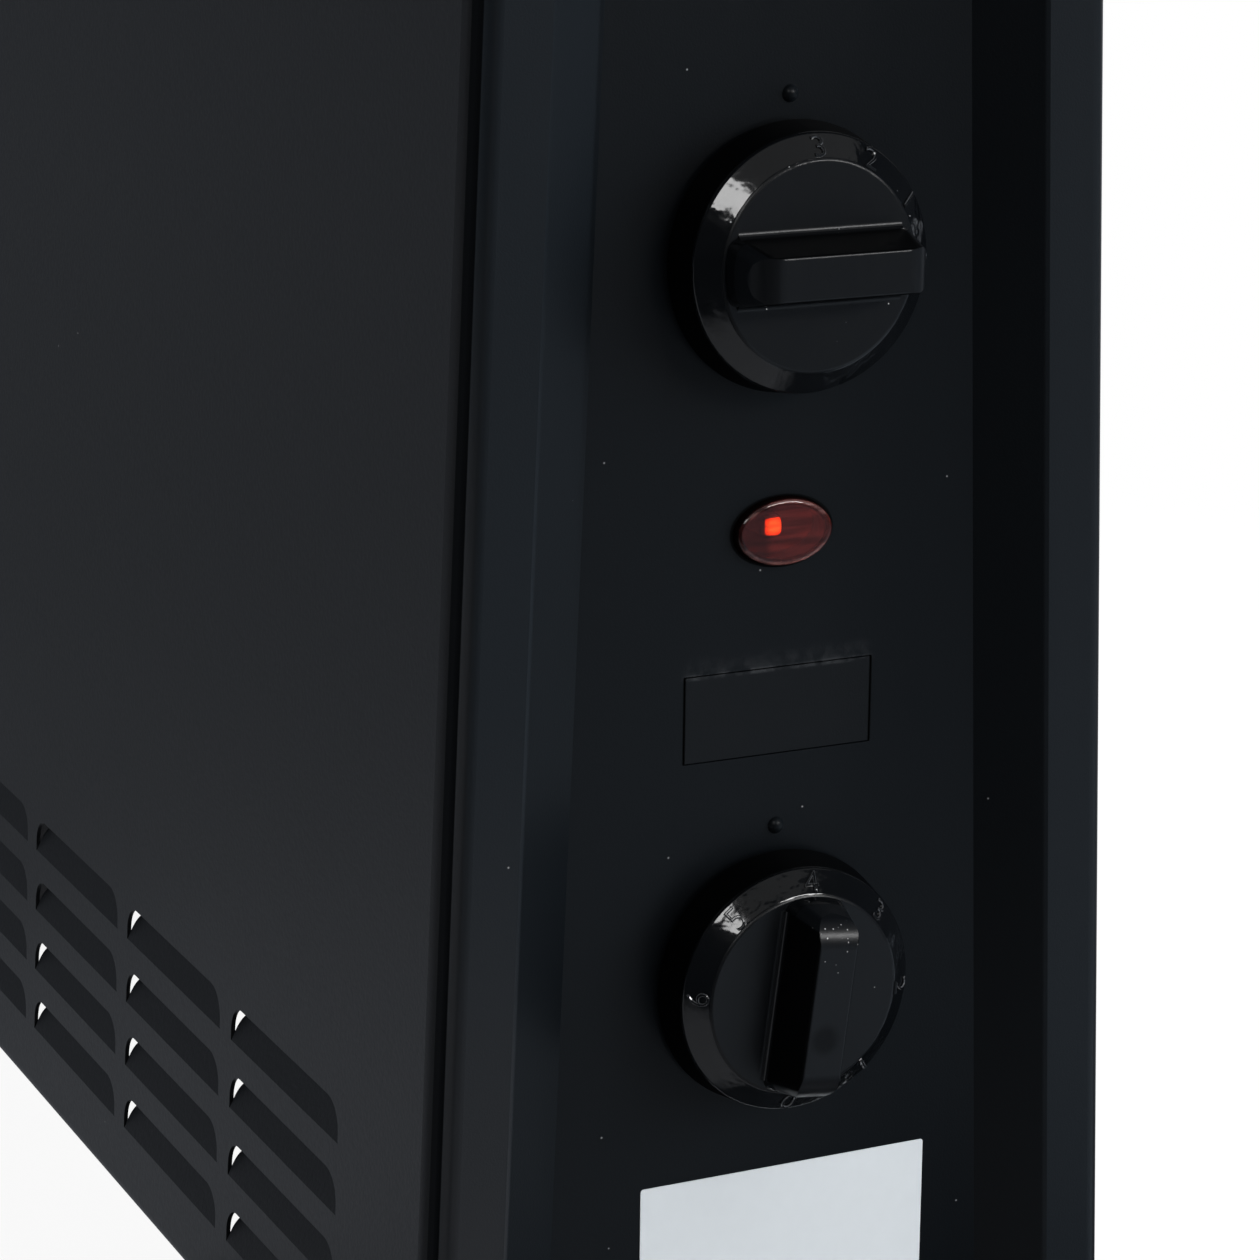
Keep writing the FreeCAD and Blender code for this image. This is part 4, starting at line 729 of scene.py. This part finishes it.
def mica_board(name):
    """Pressed mica board: amber flakes in layers, with a dull sheen."""
    mica = new_finish(name)
    flake = mica.patches(4 * MM)
    cloud = mica.noise(12 * MM, detail=4.0)
    tone = mica.blend(flake, (0.36, 0.28, 0.17), (0.56, 0.47, 0.33))
    tone = mica.blend(0.5 * cloud, tone, (0.30, 0.22, 0.13))
    return mica.close(mica.surface(
        Base_Color=tone, Roughness=0.4 + 0.2 * flake, Normal=mica.bump(flake, 0.02 * MM)))


def heating_alloy(name):
    """Resistance ribbon: oxidised grey-brown with bluish heat tints."""
    alloy = new_finish(name)
    tint = alloy.noise(9 * MM, detail=3.0)
    stops = [(0.3, (0.28, 0.26, 0.24)), (0.5, (0.22, 0.19, 0.17)), (0.7, (0.20, 0.22, 0.27))]
    ramp = alloy.node("ShaderNodeValToRGB", {"stops": stops}, {0: tint})
    return alloy.close(alloy.surface(Base_Color=ramp, Metallic=0.9, Roughness=0.42 + 0.2 * tint))


# Pieces


def link(name, data):
    """A new object in the scene."""
    made = bpy.data.objects.new(name, data)
    bpy.context.scene.collection.objects.link(made)
    return made


def mesh_of(bm, name):
    """Finish a bmesh as a mesh with outward faces."""
    bmesh.ops.recalc_face_normals(bm, faces=bm.faces)
    mesh = bpy.data.meshes.new(name)
    bm.to_mesh(mesh)
    bm.free()
    return mesh


def joined(meshes):
    """One bmesh from several meshes, which are used up."""
    whole = bmesh.new()
    for mesh in meshes:
        whole.from_mesh(mesh)
        bpy.data.meshes.remove(mesh)
    return whole


def bridge(bm, rings):
    """Walls between rings of points that follow each other; a ring may be a single point."""
    sides = max(len(ring) for ring in rings)
    for upper, lower in zip(rings, rings[1:]):
        for side in range(sides):
            following = (side + 1) % sides
            corners = [upper[side % len(upper)], lower[side % len(lower)],
                       lower[following % len(lower)], upper[following % len(upper)]]
            bm.faces.new(list(dict.fromkeys(corners)))


def add_piece(name, bm, material, body):
    """Link a bmesh as a piece that rides on a body of the frame."""
    piece = link(name, mesh_of(bm, name))
    piece.data.materials.append(material)
    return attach(piece, body)


def figure_mesh(text, height, raise_by, chamfer):
    """Raised figure that lies in XY with its middle at the origin and stands up along Z."""
    curve = bpy.data.curves.new("figure", "FONT")
    curve.body = text
    curve.resolution_u = 4
    sketch = link("figure", curve)
    bpy.context.view_layer.update()
    flat = bpy.data.meshes.new_from_object(sketch)
    corners = [vertex.co for vertex in flat.vertices]
    low = Vector((min(c.x for c in corners), min(c.y for c in corners), 0.0))
    high = Vector((max(c.x for c in corners), max(c.y for c in corners), 0.0))
    scale = height / (high.y - low.y)
    flat.transform(Matrix.Scale(scale, 4) @ Matrix.Translation(-(low + high) / 2))
    bpy.data.objects.remove(sketch)
    bpy.data.curves.remove(curve)
    bm = bmesh.new()
    bm.from_mesh(flat)
    bpy.data.meshes.remove(flat)
    bmesh.ops.remove_doubles(bm, verts=bm.verts, dist=1e-6)
    bmesh.ops.dissolve_limit(bm, angle_limit=0.01, verts=bm.verts, edges=bm.edges)
    base = list(bm.faces)
    walls = bmesh.ops.extrude_face_region(bm, geom=base)
    top = [item for item in walls["geom"] if isinstance(item, bmesh.types.BMVert)]
    bmesh.ops.translate(bm, verts=top, vec=(0.0, 0.0, 2 * raise_by))
    bmesh.ops.translate(bm, verts=bm.verts, vec=(0.0, 0.0, -raise_by))
    roof = [item for item in walls["geom"] if isinstance(item, bmesh.types.BMFace)]
    bmesh.ops.recalc_face_normals(bm, faces=bm.faces)
    bmesh.ops.inset_region(bm, faces=roof, thickness=chamfer, depth=chamfer, use_even_offset=True)
    return bm


def wrap_on_ring(vertex, axis, degrees):
    """Lay a point of a flat figure on the knob's sloping ring, its top to the outside."""
    run, fall = RING_RUN / RING_SLANT, RING_FALL / RING_SLANT
    middle_r = (SHOULDER_RADIUS + FACE_RADIUS) / 2
    x = (SHOULDER_X + FACE_X) / 2 - vertex.co.y * fall + vertex.co.z * run
    radius = middle_r + vertex.co.y * run + vertex.co.z * fall
    angle = math.radians(degrees) + vertex.co.x / middle_r
    vertex.co = Vector((x, axis.y + radius * math.sin(angle), axis.z + radius * math.cos(angle)))


def dial_figures(name, figures, body, marks, material):
    """Raised figures round one knob's ring, as one piece that turns with the knob."""
    meshes = []
    for text, degrees in figures:
        bm = figure_mesh(text, marks.figure_height, marks.figure_raise, marks.figure_chamfer)
        for vertex in bm.verts:
            wrap_on_ring(vertex, AXES[body], degrees)
        meshes.append(mesh_of(bm, text))
    piece = add_piece(name, joined(meshes), material, body)
    return piece


def rounded_outline(width, height, radius, steps=6):
    """Points of a rounded rectangle about the origin, anticlockwise."""
    points = []
    for quarter, (a, b) in enumerate(((1, 1), (-1, 1), (-1, -1), (1, -1))):
        centre = Vector((a * (width / 2 - radius), b * (height / 2 - radius)))
        for step in range(steps + 1):
            angle = math.pi / 2 * (quarter + step / steps)
            points.append(centre + radius * Vector((math.cos(angle), math.sin(angle))))
    return points


def upright_plate(width, height, radius, back_x, front_x, middle, edge):
    """Plate that stands square to X, with rounded corners and a softened front edge."""
    bm = bmesh.new()
    loops = []
    for x, inset in ((back_x, 0.0), (front_x - edge, 0.0), (front_x, edge)):
        outline = rounded_outline(width - 2 * inset, height - 2 * inset, radius)
        loops.append([bm.verts.new((x, middle.y + p.x, middle.z + p.y)) for p in outline])
    bridge(bm, loops)
    bm.faces.new(loops[-1])
    bm.faces.new(list(reversed(loops[0])))
    return bm


def screw_profile(head_radius, length):
    """Half outline of a pan-head screw from its crown to its tip, as (radius, height) pairs."""
    wall, crown_steps = 0.55, 6
    angles = [math.pi / 2 * step / crown_steps for step in range(1, crown_steps + 1)]
    crown = [(head_radius * math.sin(a), HEAD_HEIGHT * (wall + (1 - wall) * math.cos(a))) for a in angles]
    shank = [(SHANK_RADIUS, 0.0), (SHANK_RADIUS, SHANK_RADIUS - length), (0.0, -length)]
    return [(0.0, HEAD_HEIGHT), *crown, (head_radius, 0.0), *shank]


def turned_mesh(profile, sides):
    """Solid of revolution about Z."""
    bm = bmesh.new()
    angles = [2 * math.pi * side / sides for side in range(sides)]
    rings = []
    for radius, height in profile:
        turns = angles if radius else angles[:1]
        points = [(radius * math.cos(a), radius * math.sin(a), height) for a in turns]
        rings.append([bm.verts.new(point) for point in points])
    bridge(bm, rings)
    return mesh_of(bm, "turned")


def cross_tool(reach, width, depth, top):
    """Tapered cross that cuts a driver's recess."""
    bm = bmesh.new()
    for turn in (0.0, math.pi / 2):
        made = bmesh.ops.create_cube(bm, size=1.0)["verts"]
        for vertex in made:
            taper, rise = (1.0, depth) if vertex.co.z > 0 else (RECESS_TAPER, -depth)
            vertex.co = Vector((vertex.co.x * 2 * reach * taper, vertex.co.y * width * taper, top + rise))
        bmesh.ops.rotate(bm, verts=made, matrix=Matrix.Rotation(turn, 3, "Z"))
    return mesh_of(bm, "cross")


def cross_screw(head_radius, length):
    """Pan-head screw along Z with a cross recess, its seat at the origin."""
    profile = screw_profile(head_radius, length)
    screw = link("screw", turned_mesh(profile, SCREW_SIDES))
    tool = link("tool", cross_tool(
        RECESS_REACH * head_radius, RECESS_WIDTH * head_radius, RECESS_DEPTH * HEAD_HEIGHT, HEAD_HEIGHT))
    cut = screw.modifiers.new("recess", "BOOLEAN")
    cut.operation = "DIFFERENCE"
    cut.solver = "EXACT"
    cut.use_self = True
    cut.object = tool
    bpy.context.view_layer.update()
    mesh = bpy.data.meshes.new_from_object(screw.evaluated_get(bpy.context.evaluated_depsgraph_get()))
    for made in (screw, tool):
        old = made.data
        bpy.data.objects.remove(made)
        bpy.data.meshes.remove(old)
    return mesh


def screw_group(name, node, head_on_top, marks, material):
    """Four recessed screws at the corners of a CAD group, which they replace."""
    low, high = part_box(node)
    radius = marks.screw_head / 2
    seat = high.z - HEAD_HEIGHT if head_on_top else low.z + HEAD_HEIGHT
    upright = Matrix.Identity(4) if head_on_top else Matrix.Rotation(math.pi, 4, "X")
    screw = cross_screw(radius, high.z - low.z - HEAD_HEIGHT)
    corners = [(x, y) for x in (low.x + radius, high.x - radius) for y in (low.y + radius, high.y - radius)]
    meshes = []
    for index, (x, y) in enumerate(corners):
        turn = Matrix.Rotation(RECESS_FIRST_TURN + RECESS_NEXT_TURN * index, 4, "Z")
        single = screw.copy()
        single.transform(Matrix.Translation((x, y, seat)) @ turn @ upright)
        meshes.append(single)
    bpy.data.meshes.remove(screw)
    piece = add_piece(name, joined(meshes), material, "heater")
    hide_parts(node)
    return piece


# Operators


class HEATER_OT_dress_panels(bpy.types.Operator):
    """Coat the two pressed panels and the outlet grille"""
    bl_idname = "heater.dress_panels"
    bl_label = "Dress Panels"

    def execute(self, context):
        finishes = context.scene.heater_finishes
        coat = powder_coat("black_powder_coat", finishes.coat_colour, finishes.coat_roughness)
        dress(("front_panel", "rear_panel", "outlet_grille"), coat)
        return {"FINISHED"}


class HEATER_OT_dress_covers(bpy.types.Operator):
    """Give the end covers and the blanking plate their grained black moulding"""
    bl_idname = "heater.dress_covers"
    bl_label = "Dress Covers"

    def execute(self, context):
        finishes = context.scene.heater_finishes
        black = black_moulding("black_moulding", finishes.cover_colour, finishes.cover_roughness)
        dress(("control_cover", "plain_cover", "blanking_plate"), black)
        return {"FINISHED"}


class HEATER_OT_dress_knobs(bpy.types.Operator):
    """Polish the knobs and raise the plain figures of their dials"""
    bl_idname = "heater.dress_knobs"
    bl_label = "Dress Knobs"

    def execute(self, context):
        finishes = context.scene.heater_finishes
        marks = context.scene.heater_marks
        polish = polished_knob("knob_black", finishes.knob_colour, finishes.knob_roughness)
        dress(("selector_knob", "thermostat_knob"), polish)
        dial_figures("selector_figures", SELECTOR_FIGURES, "selector", marks, polish)
        dial_figures("thermostat_figures", THERMOSTAT_FIGURES, "thermostat", marks, polish)
        return {"FINISHED"}


class HEATER_OT_light_pilot(bpy.types.Operator):
    """Tint the lens, clear the neon lamp's glass and light its electrode"""
    bl_idname = "heater.light_pilot"
    bl_label = "Light Pilot Lamp"

    def execute(self, context):
        finishes = context.scene.heater_finishes
        dress(("lamp_lens",), tinted_lens("lens_red", finishes.lens_colour))
        dress(("neon_lamp",), clear_glass("neon_glass", LAMP_GLASS))
        glow = neon_glow("neon_glow", finishes.glow_colour, finishes.glow_strength)
        low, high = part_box("neon_lamp")
        side = ELECTRODE_SHARE * (high.z - low.z)
        front = high.x - ELECTRODE_SINK
        plate = upright_plate(
            side, side, ELECTRODE_CORNER * side, front - ELECTRODE_THICKNESS, front, (low + high) / 2,
            ELECTRODE_EDGE)
        electrode = add_piece("neon_electrode", plate, glow, "heater")
        return {"FINISHED"}


class HEATER_OT_fix_plate(bpy.types.Operator):
    """Stick the bare rating plate on the floor of the control cover"""
    bl_idname = "heater.fix_plate"
    bl_label = "Fix Rating Plate"

    def execute(self, context):
        marks = context.scene.heater_marks
        film = bare_plate("plate_film", context.scene.heater_finishes.plate_colour)
        middle = Vector((0.0, marks.plate_offset, PANEL_BOTTOM + marks.plate_top - marks.plate_height / 2))
        plate = upright_plate(
            marks.plate_width, marks.plate_height, PLATE_CORNER, FLOOR_X - PLATE_SINK,
            FLOOR_X + marks.plate_thickness, middle, PLATE_EDGE)
        add_piece("rating_plate", plate, film, "heater")
        return {"FINISHED"}


class HEATER_OT_dress_feet(bpy.types.Operator):
    """Finish the cross feet and their rubber pads"""
    bl_idname = "heater.dress_feet"
    bl_label = "Dress Feet"

    def execute(self, context):
        dress(("right_foot", "left_foot"), plain_moulding("foot_moulding"))
        dress(("foot_pads",), plain_moulding("pad_rubber"))
        return {"FINISHED"}


class HEATER_OT_dress_inner_works(bpy.types.Operator):
    """Finish the bulkheads, controls, heating cards and fittings inside"""
    bl_idname = "heater.dress_inner_works"
    bl_label = "Dress Inner Works"

    def execute(self, context):
        pale_bodies = ("thermostat_body", "lamp_housing", "thermal_cutout", "terminal_block")
        dress(("control_bulkhead", "plain_bulkhead"), zinc_sheet("zinc_sheet"))
        dress(("selector_switch", "cord_gland"), plain_moulding("switch_moulding"))
        dress(pale_bodies, plain_moulding("pale_moulding"))
        dress(("front_heating_card", "rear_heating_card"), mica_board("mica_card"))
        dress(("front_heating_ribbon", "rear_heating_ribbon"), heating_alloy("heating_alloy"))
        return {"FINISHED"}


class HEATER_OT_fit_screws(bpy.types.Operator):
    """Plate the spindles and inner fasteners, and fit recessed screws where they show"""
    bl_idname = "heater.fit_screws"
    bl_label = "Fit Screws"

    def execute(self, context):
        marks = context.scene.heater_marks
        plating = {slot: plated_steel(slot) for slot in PLATINGS}
        hidden = ("selector_shaft", "thermostat_shaft", "control_screws", "foot_nuts")
        dress(hidden, plating["zinc_screw"])
        for name, node, head_on_top, slot in SCREW_GROUPS:
            dress((node,), plating[slot])
            screw_group(name, node, head_on_top, marks, plating[slot])
        return {"FINISHED"}


def softbox(name, towards, distance, size, power, mirrored):
    """Area light that looks at the upper knob: either mirrored in the gloss or lighting the rest."""
    lamp = bpy.data.lights.new(name, "AREA")
    lamp.shape = "RECTANGLE"
    lamp.size, lamp.size_y = size
    lamp.energy = power
    light = link(name, lamp)
    direction = Vector(towards).normalized()
    light.location = AXES["selector"] + direction * distance
    light.rotation_euler = direction.to_track_quat("Z", "Y").to_euler()
    light.visible_glossy = mirrored
    light.visible_diffuse = not mirrored


def mirrored_floor(paint):
    """Painted reflection: tint that the floor glows with in the gloss, a lit table in a dark room and paler
    floor round the heater.
    """
    out, back = paint.along("X"), paint.along("Y")
    end_x = 0.26
    slant = back / (out - end_x)
    beside = paint.zone(MIRRORED_BESIDE) * (1.0 - 0.3 * back.fade(0.3, 0.5))
    ahead = paint.zone(MIRRORED_AHEAD) * (1.0 - 0.6 * slant.fade(0.42, 0.8))
    pale = paint.blend(out.fade(0.55, 0.90), PALE_NEAR, PALE_FAR)
    front = paint.layers(FRONT_NEAR, (
        (out.fade(-0.6, -1.6), FRONT_FAR),
        (out.fade(-0.45, 0.0), FRONT_UNDER),
        (paint.zone(MIRRORED_PLAIN_END), PLAIN_END),
    ))
    return paint.layers(DARK_ROOM, (
        (paint.zone(MIRRORED_TABLE), LIT_TABLE),
        (beside | ahead, pale),
        (out.fade(0.22, 0.12), front),
    ))


def studio_floor(studio):
    """Wide pale floor that is seen almost white and still takes the heater's shadow."""
    paint = new_finish("studio_floor")
    scuff = paint.noise(0.4, detail=3.0)
    tone = paint.blend(scuff, shade(studio.floor_colour, 0.98), shade(studio.floor_colour, 1.02))
    matt = paint.node("ShaderNodeBsdfDiffuse", sockets={"Color": tone})
    white = paint.node("ShaderNodeEmission", sockets={"Color": WHITE})
    # painted reflection: the floor's glow that only glossy rays see
    sheen = paint.node("ShaderNodeEmission", sockets={"Color": mirrored_floor(paint)})
    distance = paint.node("ShaderNodeVectorMath", {"operation": "LENGTH"}, {0: paint.place()}, out="Value")
    clear = studio.floor_white + (1.0 - studio.floor_white) * distance.fade(*SHADOW_REACH)
    seen = paint.seen_by("Camera") + paint.seen_by("Transmission")
    underlay = paint.over(paint.seen_by("Glossy"), matt, sheen)
    bm = bmesh.new()
    bmesh.ops.create_circle(bm, cap_ends=True, segments=96, radius=STUDIO_RADIUS)
    mesh = mesh_of(bm, "studio_floor")
    mesh.materials.append(paint.close(paint.over(clear * seen, underlay, white)))
    floor = link("studio_floor", mesh)


def studio_world(studio):
    """Dim even room light, seen as white past the floor."""
    room = Finish(bpy.data.worlds.new("studio_world"))
    even, dark, white = (
        room.node("ShaderNodeBackground", sockets={0: colour, 1: level})
        for colour, level in ((WHITE, studio.world_level), (MIRRORED_ROOM, MIRRORED_LEVEL), (WHITE, 1.0)))
    around = room.over(room.seen_by("Glossy"), even, dark)
    shader = room.over(room.seen_by("Camera"), around, white)
    bpy.context.scene.world = room.close(shader, "ShaderNodeOutputWorld")


def studio_camera():
    """Camera at the photograph's place, angle and framing."""
    lens = bpy.data.cameras.new("camera")
    lens.lens = CAMERA_LENS
    lens.sensor_width = CAMERA_SENSOR
    lens.sensor_fit = "HORIZONTAL"
    lens.shift_y = CAMERA_SHIFT_Y
    lens.clip_start = 0.01
    lens.clip_end = 200.0
    camera = link("camera", lens)
    back = CAMERA_RIGHT.cross(CAMERA_UP)
    turn = Matrix((CAMERA_RIGHT, CAMERA_UP, back)).transposed().to_4x4()
    place = Vector((RIM_X + CAMERA_AHEAD_OF_RIM, CAMERA_Y, PANEL_BOTTOM + CAMERA_ABOVE_PANEL))
    camera.matrix_world = Matrix.Translation(place) @ turn
    bpy.context.scene.camera = camera


class HEATER_OT_set_stage(bpy.types.Operator):
    """Set the studio: camera, floor, room light and softboxes"""
    bl_idname = "heater.set_stage"
    bl_label = "Set Stage"

    def execute(self, context):
        studio = context.scene.heater_studio
        for name, (towards, distance, size, setting, mirrored) in SOFTBOXES.items():
            softbox(name, towards, distance, size, getattr(studio, setting), mirrored)
        studio_floor(studio)
        studio_world(studio)
        studio_camera()
        context.scene.view_settings.view_transform = "Standard"
        return {"FINISHED"}


class HEATER_PT_looks(bpy.types.Panel):
    """Sidebar list of the heater's pieces and settings"""
    bl_idname = "HEATER_PT_looks"
    bl_label = "Convector Heater"
    bl_space_type = "VIEW_3D"
    bl_region_type = "UI"
    bl_category = "Heater"

    def draw(self, context):
        for operator in OPERATORS:
            self.layout.operator(operator.bl_idname)
        for group in SETTINGS:
            held = getattr(context.scene, group)
            box = self.layout.box()
            for name in held.bl_rna.properties.keys():
                if name not in ("rna_type", "name"):
                    box.prop(held, name)


SETTINGS = {
    "heater_finishes": HeaterFinishes,
    "heater_marks": HeaterMarks,
    "heater_studio": HeaterStudio,
}
OPERATORS = (
    HEATER_OT_dress_panels,
    HEATER_OT_dress_covers,
    HEATER_OT_dress_knobs,
    HEATER_OT_light_pilot,
    HEATER_OT_fix_plate,
    HEATER_OT_dress_feet,
    HEATER_OT_dress_inner_works,
    HEATER_OT_fit_screws,
    HEATER_OT_set_stage,
)
CLASSES = (*SETTINGS.values(), *OPERATORS, HEATER_PT_looks)


def register():
    for made in CLASSES:
        bpy.utils.register_class(made)
    for name, group in SETTINGS.items():
        setattr(bpy.types.Scene, name, bpy.props.PointerProperty(type=group))


def unregister():
    for name in SETTINGS:
        delattr(bpy.types.Scene, name)
    for made in reversed(CLASSES):
        bpy.utils.unregister_class(made)


def main():
    """Register the add-on, dress every piece in order and set the stage."""
    register()
    for operator in OPERATORS:
        getattr(bpy.ops.heater, operator.bl_idname.removeprefix("heater."))()


if __name__ == "__main__":
    main()
